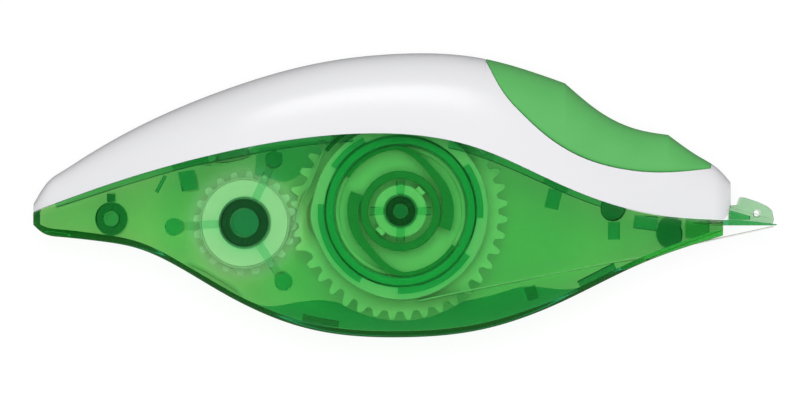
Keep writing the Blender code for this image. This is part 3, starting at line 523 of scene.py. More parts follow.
# %% Rings of the case wall
PARTING = CLEAR / 2
CASE_STATIONS, STEPS_UNDER, STEPS_SIDE = 260, 9, 22
PANEL_TOP_LEAST, PANEL_TOP_MOST = SWELL_AT + 0.03, 0.94
CROWDING, FOOT_CROWDING = 0.8, 1.3


def along_case(first, last, count):
    """Stations along x: the mean of an even and a cosine spacing, closer together near both ends."""
    even = np.linspace(0, 1, count)
    return first + (last - first) * (0.5 * even + 0.25 * (1 - np.cos(math.pi * even)))


def side_rows(x):
    """Shares of the height up the side, crowded where the panel begins and ends."""
    widest = HALF + swell(x)
    foot = underside_half(x)
    cut = np.minimum((HALF - foot) / (widest - foot), 1)
    lower = SWELL_AT * (1 - (1 - cut ** 2) ** (1 / SWELL_POWER))
    over = np.clip((widest - HALF) / SHOULDER_DROP, 0, 1)
    upper = np.clip(SWELL_AT + (1 - SWELL_AT) * np.sqrt(over), PANEL_TOP_LEAST, PANEL_TOP_MOST)
    even = np.linspace(0, 1, STEPS_SIDE + 1)[1:]
    crowded = even - CROWDING * np.sin(2 * math.pi * even) / (2 * math.pi)
    first = lower[:, None] * (1 - (1 - even ** 2) ** FOOT_CROWDING)
    second = lower[:, None] + (upper - lower)[:, None] * crowded
    third = upper[:, None] + (1 - upper)[:, None] * even
    return np.concatenate((first, second, third), axis=1)


def half_profile(x, inner):
    """Heights and half-widths of one face, from the parting plane along the underside to the seam."""
    column = x[:, None]
    low = belly(x) + inner * WALL
    foot = inner_half(x, low) if inner else case_half(x, low)
    start = np.maximum(PARTING, slot_half(x))
    under = start[:, None] + (foot - start)[:, None] * np.linspace(0, 1, STEPS_UNDER)
    rows = low[:, None] + (seam(x) - low)[:, None] * side_rows(x)
    height = np.concatenate((np.broadcast_to(low[:, None], under.shape), rows), axis=1)
    side = inner_half(column, rows) if inner else case_half(column, rows)
    return height, np.concatenate((under, side), axis=1)


def rings(x, outer, inner, side=1):
    """One ring per station: heights and half-widths of the outer line, then the inner one backwards."""
    y, half = (np.concatenate((there, back[:, ::-1]), axis=1) for there, back in zip(outer, inner))
    return np.stack((np.broadcast_to(x[:, None], y.shape), y, HALF + side * half), axis=2)


def case_wall(side):
    """Rings of one half, mirrored by the side, closed at the tail and with a flat rim at the nose."""
    x = along_case(TAIL, NOSE, CASE_STATIONS)
    outer = half_profile(x, 0)
    inner_y, inner = half_profile(x, 1)
    hollow = (x > TAIL + WALL)[:, None]
    inner_y = np.where(hollow, inner_y, seam(x)[:, None])
    points = rings(x, outer, (inner_y, np.where(hollow, inner, PARTING)), side)
    tail = np.broadcast_to(points[0, -1], points[0].shape)[None]
    count = outer[0].shape[1]
    mouth = np.concatenate((points[-1, :count], points[-1, count - 1::-1]))[None]
    return sheet(np.concatenate((tail, points, mouth)), close_columns=True)


print("points on one ring of the case:", 2 * (STEPS_UNDER + 3 * STEPS_SIDE))

# %% [markdown]
# Along the seam the front half has a lip that reaches up inside the white cover, hooks that hold the cover
# down, and a few short ribs. Booleans could join them to the wall. Each is a closed strip along a path
# instead, which keeps the clear plastic free of stray faces. The lip lies on the inside of the cover, so
# the cover's wall is worked out here first.

# %% Lips, hooks and ribs
COVER_WALL, GRIP_START, GRIP_THICK, GRIP_SEAT = 1.4, 13.5, 1.5, 1.2
GRIP_DEPTH = GRIP_THICK + CLEAR
LIP_UNDER, LIP_OVER, LIP_DEPTH, HOOK_DEPTH = 1.2, 0.9, 1.5, 2.5
LIPS = [(-58.0, -8.5, 0, LIP_DEPTH), (7.5, 33.0, 0, LIP_DEPTH),
        (-38.4, -32.5, LIP_DEPTH + HAIR, HOOK_DEPTH), (23.3, 27.2, LIP_DEPTH + HAIR, HOOK_DEPTH)]
RIB_DEPTH = 3.0
RIBS = [((-36.1, 4.0), (-35.6, 1.0), 2.6), ((25.1, 0.9), (24.4, -2.1), 2.3),
        ((34.8, -4.4), (34.8, -7.2), 2.0), ((38.1, -4.4), (42.0, -4.9), 1.9),
        ((20.8, -14.9), (21.5, -17.0), 1.9), ((-39.5, 3.2), (-41.0, 0.6), 0.6)]


def cover_inset(x):
    """Wall of the white cover, which grows in front of the grip's seat."""
    fade = np.clip((x - GRIP_START + 2 * GRIP_DEPTH) / (2 * GRIP_DEPTH), 0, 1)
    return COVER_WALL + (GRIP_DEPTH + GRIP_SEAT - COVER_WALL) * fade


def lip(first, last, start, depth):
    """Strip along the seam, from below the case's edge to above the cover's, inside the cover's wall."""
    x = np.linspace(first, last, 40)
    path = np.column_stack((x, seam(x) + (LIP_OVER - LIP_UNDER) / 2))
    top = HALF + case_half(x, seam(x)) - cover_inset(x) - HAIR - start
    return strip(path, LIP_OVER + LIP_UNDER, top - depth, top)


def rib(start, end, width):
    """Straight rib that hangs from the front wall, below the lowest of five points at each step."""
    path = np.linspace(start, end, 8)
    near = path[:, None] + width / 2 * np.array([(0, 0), (1, 0), (-1, 0), (0, 1), (0, -1)])
    top = HALF + ceiling(near[..., 0], near[..., 1])
    return strip(path, width, top - RIB_DEPTH, top)


print("cover's depth with the grip's seat in it, mm:", round(float(cover_inset(GRIP_START)), 2))

# %% [markdown]
# Inside the front half stand the features that show through it: a stepped ring over the spool, a centre
# boss with four gussets, a spider of ribs with alignment pins over the take-up reel, a keyhole boss in the
# tail, two snap tabs on the belly and an arc that guides the film. Each is its own closed island, a hair
# away from the wall, so that a ray always passes cleanly from plastic to air and back.

# %% Bosses of the front half
RIB = 1.4
RING_RADIUS, RING_WALL, RING_DEPTH, RING_STEP, RING_STEP_DEPTH = 12.6, 1.6, 2.5, 1.1, 2.2
RING_STEPS = [(175, 240), (268, 327), (-5, 35), (117, 147)]
DRIVE_POST, DRIVE_POST_BORE = 2.5, 1.2
CENTRE_GUSSET, GUSSET_DEPTH, GUSSET_ANGLES = 5.1, 1.0, (0, 90, 180, 270)
TAKEUP_POST, TAKEUP_POST_BORE = 4.0, 2.4
SPIDER_REACH, SPIDER_ANGLES, SPIDER_DEPTH = 11.7, (183, 65, 304), 0.6
PIN_RADIUS, PIN_DEPTH = 1.45, 2.6
TAIL_BOSS, TAIL_BOSS_RADIUS, TAIL_BOSS_BORE, TAIL_BOSS_TAB = np.array((-48.6, -3.7)), 2.7, 1.2, 3.9
SNAP_TABS, SNAP_REACH, SNAP_THICK = [(-16.8, -10.8), (28.9, 35.0)], 2.5, 1.1
GUIDE_RADIUS, GUIDE_WALL, GUIDE_ARC = 16.2, 0.6, (60, 141)
SHELL_CREASE = 35
panel = HALF + ceiling(*drive_axle)


def keyhole(floor, top):
    """Tail boss: a bored tube with a tab above it."""
    tab = outward(TAIL_BOSS, 90, TAIL_BOSS_RADIUS + HAIR, TAIL_BOSS_TAB)
    return [turned(TAIL_BOSS, TAIL_BOSS_RADIUS, TAIL_BOSS_BORE, floor, top), strip(tab, RIB, floor, top)]


def spider():
    """Ribs from the take-up boss to a pin each, hanging from the lowest wall above them."""
    islands = []
    for angle in SPIDER_ANGLES:
        centre = outward(takeup_axle, angle, 0, SPIDER_REACH)[-1]
        path = outward(takeup_axle, angle, TAKEUP_POST + HAIR, SPIDER_REACH - PIN_RADIUS - HAIR)
        top = HALF + min(ceiling(*path.T), ceiling_round(centre, PIN_RADIUS))
        islands.append(strip(path, RIB, top - SPIDER_DEPTH, top))
        islands.append(turned(centre, PIN_RADIUS, 0, top - PIN_DEPTH, top))
    return islands


def front_features():
    """Islands of the front half, from the wall down into the case."""
    boss_end = spool_top + 2 * CLEAR
    islands = [turned(drive_axle, RING_RADIUS, RING_RADIUS - RING_WALL, panel - RING_DEPTH, panel),
               turned(drive_axle, DRIVE_POST, DRIVE_POST_BORE, boss_end, panel),
               turned(takeup_axle, TAKEUP_POST, TAKEUP_POST_BORE, boss_end, HALF + ceiling(*takeup_axle))]
    step_middle = RING_RADIUS + HAIR + RING_STEP / 2
    islands += [strip(arc(drive_axle, step_middle, *span), RING_STEP, panel - RING_STEP_DEPTH, panel)
                for span in RING_STEPS]
    gussets = [outward(drive_axle, angle, DRIVE_POST + HAIR, CENTRE_GUSSET) for angle in GUSSET_ANGLES]
    islands += [strip(path, RIB, panel - GUSSET_DEPTH, panel) for path in gussets]
    islands += spider()
    islands += keyhole(HALF + PARTING, HALF + ceiling_round(TAIL_BOSS, TAIL_BOSS_TAB))
    for first, last in SNAP_TABS:
        x = np.linspace(first, last, 12)
        middle = np.column_stack((x, belly(x) + WALL + HAIR + SNAP_THICK / 2))
        islands.append(strip(middle, SNAP_THICK, HALF - SNAP_REACH, HALF + SNAP_REACH))
    guide = arc(drive_axle, GUIDE_RADIUS - GUIDE_WALL / 2, *GUIDE_ARC)
    islands.append(strip(guide, GUIDE_WALL, tape_floor, tape_top + CLEAR))
    return islands + [lip(*span) for span in LIPS] + [rib(*ends) for ends in RIBS]


piece("front_half", [case_wall(1)], clear_green, "case", "clear_green", "front_shell", crease=SHELL_CREASE)
piece("front_bosses", front_features(), clear_inside, "case", "clear_green", "front_shell",
      crease=SHELL_CREASE)

# %% [markdown]
# The back half carries the axles. Each post is a tube on a wider thrust step, with a plug at the foot of
# its bore, and two plain posts in the nose lead the tape. Seen from the front they are the dark rings and
# discs behind the gears. A web above the reel stiffens the wall. A guard along the belly and a sill behind
# the drive gear's lower teeth are painted shade: thick plastic that darkens the case between the gear and
# the belly. The guard's height is a formula of x, so it is a ribbon between two edges.

# %% Posts of the back half
THRUST_STEP = 1.5
UPPER_POST, UPPER_POST_RADIUS = np.array((34.7, -2.2)), 2.15
LOWER_POST, LOWER_POST_RADIUS = np.array((44.1, -6.2)), 2.2
DRIVE_HUB, TAKEUP_BORE, PLUG_DEPTH = 4.4, 4.3, 4.0
SHADE_GUARD_FROM, SHADE_GUARD_TO, SHADE_GUARD_TAPER, SHADE_GUARD_HEIGHT, SHADE_GUARD_DEPTH = -25.0, 30.0, 12.0, 4.2, 3.5
SHADE_GUARD_ROUND, SHADE_GUARD_LIFT, SHADE_GUARD_SLOPE = 18.0, 3 * RIB, 0.2
SHADE_SILL_RADIUS, SHADE_SILL_WIDE, SHADE_SILL_ARC = 16.9, 2.0, (238, 318)
WEB = [(-24.4, 7.9), (-24.9, 3.9), (-20.0, 3.1), (-15.5, 4.2), (-12.0, 7.0), (-11.6, 9.3), (-17.0, 9.0)]


def smooth(share):
    """A share eased at both ends: its square times three minus twice itself."""
    return share ** 2 * (3 - 2 * share)


def shade_guard():
    """Painted shade: thick plastic between the drive gear's rim and the belly, kept under the strand of
    fresh tape.
    """
    x = np.linspace(SHADE_GUARD_FROM, SHADE_GUARD_TO, 80)
    low = belly(x) + WALL + HAIR
    rim = drive_axle[1] - np.sqrt(np.maximum(SHADE_GUARD_ROUND ** 2 - (x - drive_axle[0]) ** 2, 0))
    under_tape = np.where(x < 0, rim, drive_axle[1] - SHADE_GUARD_ROUND + SHADE_GUARD_LIFT + SHADE_GUARD_SLOPE * x)
    share = np.clip(np.minimum(x - SHADE_GUARD_FROM, SHADE_GUARD_TO - x) / SHADE_GUARD_TAPER, 0, 1)
    limit = low + SHADE_GUARD_HEIGHT * smooth(share)
    high = np.maximum(np.minimum(np.minimum(rim, under_tape), limit), low + 2 * HAIR)
    edges = [np.column_stack((x, y)) for y in (low, high)]
    return ribbon(*edges, HALF - SHADE_GUARD_DEPTH / 2, HALF + SHADE_GUARD_DEPTH / 2)


def back_features():
    """Islands of the back half, from the wall up into the case."""
    floor = thickness - panel
    step_top = WALL + THRUST_STEP
    islands = [turned(drive_axle, DRIVE_HUB, DRIVE_POST + HAIR, floor, step_top),
               turned(drive_axle, DRIVE_POST, DRIVE_POST_BORE, floor, spool_top + CLEAR),
               turned(takeup_axle, TAKEUP_BORE + RIB, TAKEUP_POST + HAIR, floor, step_top),
               turned(takeup_axle, TAKEUP_POST, TAKEUP_POST_BORE, floor, spool_top + CLEAR),
               prism(WEB, HALF - ceiling(*np.transpose(WEB)), gear_floor - CLEAR)]
    for centre, radius in ((UPPER_POST, UPPER_POST_RADIUS), (LOWER_POST, LOWER_POST_RADIUS)):
        islands.append(turned(centre, radius, 0, HALF - ceiling_round(centre, radius), tape_top + CLEAR))
    tail_floor = HALF - ceiling_round(TAIL_BOSS, TAIL_BOSS_TAB)
    for centre, bore, start, depth in ((drive_axle, DRIVE_POST_BORE, floor, PLUG_DEPTH),
                                       (takeup_axle, TAKEUP_POST_BORE, floor, PLUG_DEPTH),
                                       (TAIL_BOSS, TAIL_BOSS_BORE, tail_floor, PLUG_DEPTH / 2)):
        islands.append(turned(centre, bore - HAIR, 0, start, start + depth))
    # Painted shade: a sill of thick plastic behind the drive gear's lower teeth.
    shade_sill = arc(drive_axle, SHADE_SILL_RADIUS, *SHADE_SILL_ARC)
    shade_sill_floor = HALF - ceiling(*arc(drive_axle, SHADE_SILL_RADIUS + SHADE_SILL_WIDE / 2, *SHADE_SILL_ARC).T)
    islands += [shade_guard(), strip(shade_sill, SHADE_SILL_WIDE, shade_sill_floor, gear_floor - CLEAR)]
    return islands + keyhole(tail_floor, HALF - PARTING)


piece("back_half", [case_wall(-1)], clear_back, "case", "clear_green", "back_shell", crease=SHELL_CREASE)
piece("back_posts", back_features(), clear_inside, "case", "clear_green", "back_shell", crease=SHELL_CREASE)

# %% [markdown]
# Along the belly a thin ribbon of dull olive plastic fills the parting gap and climbs the tail to the seam.
# It is painted shade: seen through the depth of the wall it is the dark line under the belly. Without it,
# light would run round the wall like in a fibre. Where the tape leaves the nose, the edges of its slot are
# lined with the same ribbon in a pale green: painted light that keeps those edges a light green.

# %% Painted shade along the belly and painted light on the slot's edges
RIBBON_INSET, RIBBON_THICK = 0.03, 0.2
PAINTED_RIBBON = {"cloud_mm": 0.8, "rough": 0.55, "drift": 0.08, "grain_mm": 0.3, "grain": 0.2}
# Painted shade: an olive ribbon along the belly; painted light: a pale ribbon on the slot's edges.
painted_shade_olive = moulded("painted_shade_olive_ribbon", "#7C9160", "#72865A", **PAINTED_RIBBON)
painted_light_pale_green = moulded("painted_light_pale_edge", "#D2E0AE", "#C6D4A2", **PAINTED_RIBBON)


def painted_ribbon(x, side):
    """Ribbon across the wall at one edge of the parting gap or the slot, in the tail up to the seam."""
    high = np.where(x < TAIL + WALL, seam(x), belly(x) + WALL) - RIBBON_INSET
    edges = [np.column_stack((x, y)) for y in (belly(x) + RIBBON_INSET, high)]
    near = np.maximum(PARTING, slot_half(x)) - HAIR
    far = np.maximum(near - RIBBON_THICK, -near)
    return ribbon(*edges, *sorted((HALF + side * near, HALF + side * far), key=np.mean))


closed = np.linspace(TAIL + 2 * RIBBON_INSET, TAPE_SLOT_FROM, 200)
opened = np.linspace(TAPE_SLOT_FROM + CLEAR, NOSE - CLEAR, 50)
piece("painted_shade_strip", [painted_ribbon(closed, 1)], painted_shade_olive, "case", "clear_green", "front_shell", "back_shell")
piece("painted_light_slot_edges", [painted_ribbon(opened, side) for side in (1, -1)], painted_light_pale_green, "case", "clear_green",
      "front_shell", "back_shell")

# %% [markdown]
# The white cover sits astride the case like a saddle. Its section is a superellipse, fuller than a circle,
# that spans from the seam to the back. A seat for the grip is sunk into it in front. One ring of points per
# station walks over the outside, down into the seat and back along the hollow, so the wall stays closed.

# %% Cover and seat
COVER_POWER, COVER_NOSE_RISE, COVER_GAP, COVER_CREASE = 2.8, 3.4, 0.1, 18
COVER_STATIONS, GRIP_END = 240, 51.3
REST_START, REST_END, CORNER = 26.8, 44.0, 0.1
GRIP_STEEP, GRIP_SNUB = 4.0, 1.0
BACK = math.pi / 2


def crown(x):
    """Back line of the cover: a long rise, the finger rest and the nose, with a corner between each."""
    return np.where(x < REST_START, crown_rear(x), np.where(x < REST_END, finger_rest(x), crown_nose(x)))


def cover_edge(x):
    """Lower edge: a thin gap over the seam, curling up by a square past the nose of the case."""
    past = np.clip((x - NOSE) / (COVER_NOSE - NOSE), 0, 1)
    return seam(x) + COVER_GAP + COVER_NOSE_RISE * past ** 2


def saddle(x, lean, inset):
    """Height and half-width at a lean from the edge to the back: its sine and cosine to 2/power."""
    power = 2 / COVER_POWER
    low = cover_edge(x)[:, None]
    rise = crown(x)[:, None] - inset - low
    base = case_half(x, seam(x))[:, None] - inset
    return low + rise * np.sin(lean) ** power, base * np.maximum(np.cos(lean), 0) ** power


def lean_of(x, y):
    """Lean at which the saddle has this height; past the grip's ends it is the back itself."""
    share = np.clip((y - cover_edge(x)) / (crown(x) - cover_edge(x)), 0, 1)
    lean = np.arcsin(share ** (COVER_POWER / 2))
    inside = np.clip((GRIP_END - x) / CLEAR, 0, 1) * (x > GRIP_START)
    return BACK + (lean - BACK) * inside


def up_to_back(edge, count):
    """Leans from an edge to the back, evenly spaced."""
    return edge + (BACK - edge) * np.linspace(0, 1, count)


def cover_stations(first, last):
    """Stations with extra ones on the corners and where the grip's edge is steep."""
    fine = [np.linspace(GRIP_START, GRIP_START + GRIP_STEEP, 60),
            np.linspace(GRIP_END - GRIP_SNUB, GRIP_END + GRIP_SNUB, 24)]
    corners = [at + step for at in (REST_START, REST_END) for step in (0, -CORNER, CORNER)]
    x = np.unique(np.concatenate((along_case(TAIL, COVER_NOSE, COVER_STATIONS), *fine, corners)))
    return x[(x >= first) & (x <= last)]


def over_and_back(y, half):
    """Both sides of a saddle line: the front side, then its mirror image backwards."""
    return np.concatenate((y, y[:, ::-1]), axis=1), np.concatenate((half, -half[:, ::-1]), axis=1)


def cover_wall():
    """Grid of rings: outside up to the grip's edge, the seat, the far side, and the hollow backwards."""
    x = cover_stations(TAIL, COVER_NOSE)
    edge = lean_of(x, grip_edge(x) - CLEAR)[:, None]
    in_grip = ((x > GRIP_START) & (x < GRIP_END))[:, None]
    skin = saddle(x, edge * np.linspace(0, 1, 40), 0)
    seat = saddle(x, up_to_back(edge, 8), np.where(in_grip, GRIP_DEPTH, 0))
    outer = over_and_back(*(np.concatenate(parts, axis=1) for parts in zip(skin, seat)))
    inner_y, inner = over_and_back(*saddle(x, up_to_back(0, 16), cover_inset(x)[:, None]))
    hollow = ((x > TAIL + 2 * COVER_WALL) & (x < COVER_NOSE - COVER_WALL))[:, None]
    inner_y = np.where(hollow, inner_y, cover_edge(x)[:, None])
    points = rings(x, outer, (inner_y, np.where(hollow, inner, 0)))
    ends = [np.broadcast_to(row[-1], row.shape)[None] for row in (points[0], points[-1])]
    return sheet(np.concatenate((ends[0], points, ends[1])), close_columns=True)


piece("cover", [cover_wall()], white_abs, "case", "white_gloss", "top_cover", crease=COVER_CREASE)

# %% [markdown]
# The finger grip is a rubber pad that fills the seat level with the cover. A thin dark line is left round
# it, because rubber and cover are moulded apart. It keeps the crisp corners of the finger rest, and its rim
# is rounded by a quarter circle so that it reads as a separate soft piece.

# %% Finger grip
GRIP_ROUND, GRIP_FACE_STEPS, GRIP_SLACK, GRIP_LEAST = 0.3, 44, (0.1, 0.02), 1.0


def grip_pad():
    """Rings across the pad: outer face between two rounded rims, then the inner face backwards."""
    x = cover_stations(GRIP_START + GRIP_SLACK[0], GRIP_END - GRIP_SLACK[1])
    edge = lean_of(x, grip_edge(x))[:, None]
    bend = np.radians(np.linspace(0, 90, 5))[:-1]
    reach = np.maximum(saddle(x, edge, 0)[1], GRIP_LEAST)
    rim_lean = np.minimum(edge + GRIP_ROUND * (1 - np.cos(bend)) / reach, BACK)
    rim_inset = GRIP_ROUND * (1 - np.sin(bend))
    start = np.minimum(edge + GRIP_ROUND / reach, BACK)
    lean = np.concatenate((rim_lean, up_to_back(start, GRIP_FACE_STEPS)), axis=1)
    inset = np.broadcast_to(np.concatenate((rim_inset, np.zeros(GRIP_FACE_STEPS))), lean.shape)
    outer = over_and_back(*saddle(x, lean, inset))
    inner = over_and_back(*saddle(x, up_to_back(edge, 10), GRIP_THICK))
    return sheet(closed_ends(rings(x, outer, inner)), close_columns=True)


piece("grip", [grip_pad()], green_rubber, "case", "green_rubber", "finger_grip", crease=COVER_CREASE)

# %% [markdown]
# The tip is a small clear moulding: a pressing plate with a sharp edge, a heel that holds it in the nose,
# and two cheeks that keep the tape from wandering. Straight walls on an outline are the honest form here,
# and a Bevel modifier rounds their edges so that they glint.

# %% Applicator tip
TIP_EDGE, PLATE_TOP, PLATE_THICK, PLATE_ROOT = np.array((62.1, -4.7)), -4.0, 0.9, 46.8
HEEL_LENGTH, HEEL_DEPTH, BEVEL_LENGTH, EDGE_BLUNT = 4.0, 1.8, 6.0, 0.3
CHEEK = [(54.1, -4.9), (54.1, -1.6), (55.5, -1.55), (56.0, -0.2), (56.8, -0.3), (58.9, -1.0), (60.4, -1.7),
         (61.2, -2.4), (61.5, -3.9), (61.2, -4.9)]
NECK = [(54.2, -3.95), (54.2, -2.4), (56.0, -2.9), (57.6, -3.35), (57.6, -3.95)]
EYE, EYE_RADIUS = np.array((58.7, -2.9)), 0.55
CHEEK_OUT, CHEEK_THICK, TIP_BEVEL = 0.9, 0.5, 0.15
plate_half = (tape_top - tape_floor) / 2 + CLEAR
plate_low, heel_end = PLATE_TOP - PLATE_THICK, PLATE_ROOT + HEEL_LENGTH
heel_low = plate_low - HEEL_DEPTH
plate = [(heel_end, PLATE_TOP), (heel_end, plate_low), (TIP_EDGE[0] - EDGE_BLUNT, plate_low), TIP_EDGE,
         (TIP_EDGE[0] - BEVEL_LENGTH, PLATE_TOP)]
heel = np.array([(PLATE_ROOT, PLATE_TOP), (PLATE_ROOT, heel_low), (heel_end, heel_low),
                 (heel_end, PLATE_TOP)]) - (HAIR, 0)


def cheek(side):
    """Plate with an eye: its outline as a radius over the turn about the eye."""
    corners = np.array(CHEEK + CHEEK[:1])
    along = np.linspace(0, len(CHEEK), 12 * len(CHEEK), endpoint=False)
    outline = np.column_stack([np.interp(along, np.arange(len(corners)), axis) for axis in corners.T]) - EYE
    low, high = sorted(side * (plate_half + CHEEK_OUT - step) for step in (0, CHEEK_THICK))
    reach, turn = np.hypot(*outline.T), np.arctan2(*outline.T[::-1])
    return turned(EYE, reach, EYE_RADIUS, HALF + low, HALF + high, turn)


tip_islands = [prism(outline, HALF - plate_half, HALF + plate_half) for outline in (plate, heel, NECK)]
tip_islands += [cheek(1), cheek(-1)]
piece("tip", tip_islands, clear_tip, "case", "clear_tip", "applicator_tip", bevel=TIP_BEVEL)

# %% [markdown]
# The gears are involute: each flank is the line that a taut string's end draws as it unwinds from a base
# circle. Blender's gear add-on only approximates it. In the grid the tooth is a radius that depends on the
# angle, with a few points per flank, and the flat rounded crests are the same section with a small bevel.

# %% Gear outline
MODULE, BACKLASH, PRESSURE_ANGLE, TOOTH_ROUND = 0.866, 0.3, math.radians(20), 0.2
FLANK_FROM, FLANK_STEPS = 0.65, 7
ROOT_ACROSS, ROOT_DOWN = np.array((0.7, 0.25)), np.array((1.0, 0.9))
CREST_ACROSS, CREST_DOWN = np.array((0.75, 0.3)), np.array((0.3, 0.0))


def gear_outline(teeth, tip_rise, root_drop, phase):
    """Angles and radii: half a tooth is its pitch half-angle plus inv(20 degrees) minus inv(roll)."""
    pitch = MODULE * teeth / 2
    base = pitch * math.cos(PRESSURE_ANGLE)
    flank = np.linspace(pitch - FLANK_FROM * root_drop, pitch + tip_rise - TOOTH_ROUND, FLANK_STEPS)
    roll = np.arccos(np.minimum(base / np.maximum(flank, base), 1))
    half_tooth = (math.pi * MODULE - BACKLASH) / (4 * pitch) + math.tan(PRESSURE_ANGLE) - PRESSURE_ANGLE
    half = half_tooth - (np.tan(roll) - roll)
    valley = math.pi / teeth - half[0]
    half = np.concatenate((half[0] + ROOT_ACROSS * valley, half, CREST_ACROSS * half[-1]))
    root, crest = pitch - ROOT_DOWN * root_drop, pitch + tip_rise - CREST_DOWN * TOOTH_ROUND
    flank = np.concatenate((root, flank, crest))
    radius = np.concatenate((flank, flank[::-1]))
    offset = np.concatenate((-half, half[::-1]))
    turn = (phase + np.arange(teeth) * 2 * math.pi / teeth)[:, None] + offset
    return turn.ravel(), np.broadcast_to(radius, turn.shape).ravel()


mesh_angle = math.atan2(*(takeup_axle - drive_axle)[::-1])
print("line of centres, degrees:", round(math.degrees(mesh_angle), 2))

# %% [markdown]
# The drive gear carries a hub with two keys for the clutch and a low shoulder that the spool turns on. The
# take-up reel is a gear half its size with a drum. On the line between the axles the drive gear has a tooth
# and the reel a space, so that they mesh at rest.

# %% Drive gear and take-up reel
DRIVE_TEETH, DRIVE_RISE, DRIVE_DROP = 40, 0.68, 0.95
TAKEUP_TEETH, TAKEUP_RISE, TAKEUP_DROP, TAKEUP_DRUM = 20, 0.5, 1.0, 7.2
DRIVE_BORE, SPOOL_BORE, SHOULDER_WALL, SHOULDER_HEIGHT = 2.8, 11.2, 0.7, 1.3
KEY_LENGTH, KEY_WIDTH, KEY_ANGLES = 0.7, 1.6, (45, 225)
shoulder, shoulder_top = SPOOL_BORE - CLEAR, gear_top + SHOULDER_HEIGHT
turn, teeth = gear_outline(DRIVE_TEETH, DRIVE_RISE, DRIVE_DROP, mesh_angle)
drive_islands = [turned(drive_axle, teeth, DRIVE_BORE, gear_floor, gear_top, turn),
                 turned(drive_axle, DRIVE_HUB, DRIVE_BORE, gear_top, spool_top),
                 turned(drive_axle, shoulder, shoulder - SHOULDER_WALL, gear_top, shoulder_top)]
keys = [outward(drive_axle, angle, DRIVE_HUB, DRIVE_HUB + KEY_LENGTH) for angle in KEY_ANGLES]
drive_islands += [strip(key, KEY_WIDTH, gear_top, spool_top) for key in keys]
piece("drive_wheel", drive_islands, natural_acetal, "drive", "pale_acetal", "drive_gear")

half_pitch = math.pi / TAKEUP_TEETH
turn, teeth = gear_outline(TAKEUP_TEETH, TAKEUP_RISE, TAKEUP_DROP, mesh_angle + math.pi + half_pitch)
piece("takeup_wheel", [turned(takeup_axle, teeth, TAKEUP_BORE, gear_floor, gear_top, turn),
                       turned(takeup_axle, TAKEUP_DRUM, TAKEUP_BORE, gear_top, spool_top)],
      white_acetal, "takeup", "pale_acetal", "takeup_reel")

# %% [markdown]
# The clutch lets the spool slip when the tape needs to run faster than the gears. Two springy arms leave a
# ring as crescents, spread in a slow spiral and press their shoes on the bore of the spool. The ring passes
# over the hub's keys. An arm is the ribbon between two edges whose radius grows with the angle.

# %% Clutch
CLUTCH_INNER, CLUTCH_OUTER, CLUTCH_ARM, CRESCENT_OUTER = 4.7, 6.7, 0.7, 8.9
ARM_FROM, SPREAD_FROM, SHOE_FROM, SHOE_TO = -22, 45, 95, 147
angle = np.linspace(ARM_FROM, SHOE_TO, 90)
spread = np.clip((angle - SPREAD_FROM) / (SHOE_FROM - SPREAD_FROM), 0, 1)
outer = CRESCENT_OUTER + (SPOOL_BORE - CLEAR - CRESCENT_OUTER) * smooth(spread)
slim = np.clip((angle - ARM_FROM) / (SHOE_FROM - ARM_FROM), 0, 1)
inner = CLUTCH_OUTER + HAIR + (outer - CLUTCH_ARM - CLUTCH_OUTER - HAIR) * slim
clutch_islands = [turned(drive_axle, CLUTCH_OUTER, CLUTCH_INNER + KEY_LENGTH, clutch_floor, clutch_top)]
for half_turn in (0, 180):
    way = np.radians(angle + half_turn)
    direction = np.column_stack((np.cos(way), np.sin(way)))
    edges = [drive_axle + radius[:, None] * direction for radius in (inner, outer)]
    clutch_islands.append(ribbon(*edges, clutch_floor, clutch_top))
piece("clutch", clutch_islands, green_acetal, "drive", "green_acetal", "clutch_spring")

# %% [markdown]
# Tape is wound on the spool in hundreds of turns, and the used film gathers on the take-up drum. A spiral
# sheet could show each turn, but at this size they run together, so a winding is a plain ring.

# %% Spool and windings
SPOOL_RADIUS, ROLL_RADIUS, WRAP_INNER, WRAP_RADIUS = 12.4, 14.6, 7.24, 7.5
piece("spool_core", [turned(drive_axle, SPOOL_RADIUS, SPOOL_BORE, spool_floor, spool_top)],
      natural_acetal, "supply", "pale_acetal", "supply_spool")
piece("tape_winding", [turned(drive_axle, ROLL_RADIUS, SPOOL_RADIUS + CLEAR, tape_floor, tape_top)],
      coated_tape, "supply", "coated_tape", "tape_roll")
piece("film_winding", [turned(takeup_axle, WRAP_RADIUS, WRAP_INNER, tape_floor, tape_top)],
      bare_film, "takeup", "bare_film", "liner_wrap")

# %% [markdown]
# Between the windings run two strands: coated tape under the roll to the pressing edge, and bare film back
# over the guide. A cloth simulation could pull them tight. A real strand is straight between its posts, so
# the route is a list of touching points and arcs.

# %% Strands of tape and film
TAPE_THICK, STRAND, GUIDE_GAP = 0.10, 0.425, 1.0


def touching(first, first_radius, second, second_radius, side, crossing=False):
    """Points where a straight strand touches two circles; side 1 is left of the way to the second."""
    way = second - first
    reach = first_radius + second_radius if crossing else first_radius - second_radius
    lean = math.atan2(way[1], way[0]) + side * math.acos(reach / np.linalg.norm(way))
    out = np.array((math.cos(lean), math.sin(lean)))
    return first + first_radius * out, second + (-second_radius if crossing else second_radius) * out


def angle_at(point):
    """Direction of a point from the drive axle, in degrees."""
    return math.degrees(math.atan2(*(point - drive_axle)[::-1]))


leave, meet = touching(drive_axle, ROLL_RADIUS + STRAND, LOWER_POST, LOWER_POST_RADIUS + STRAND, -1)
fresh_end = TIP_EDGE - (2 * CLEAR, STRAND)
fresh_path = np.concatenate([np.linspace(a, b, 20, endpoint=False)
                             for a, b in ((leave, meet), (meet, fresh_end))] + [fresh_end[None]])
piece("tape_strand", [strip(fresh_path, 2 * TAPE_THICK, tape_floor, tape_top)], coated_tape, "case",
      "coated_tape", "fresh_tape")

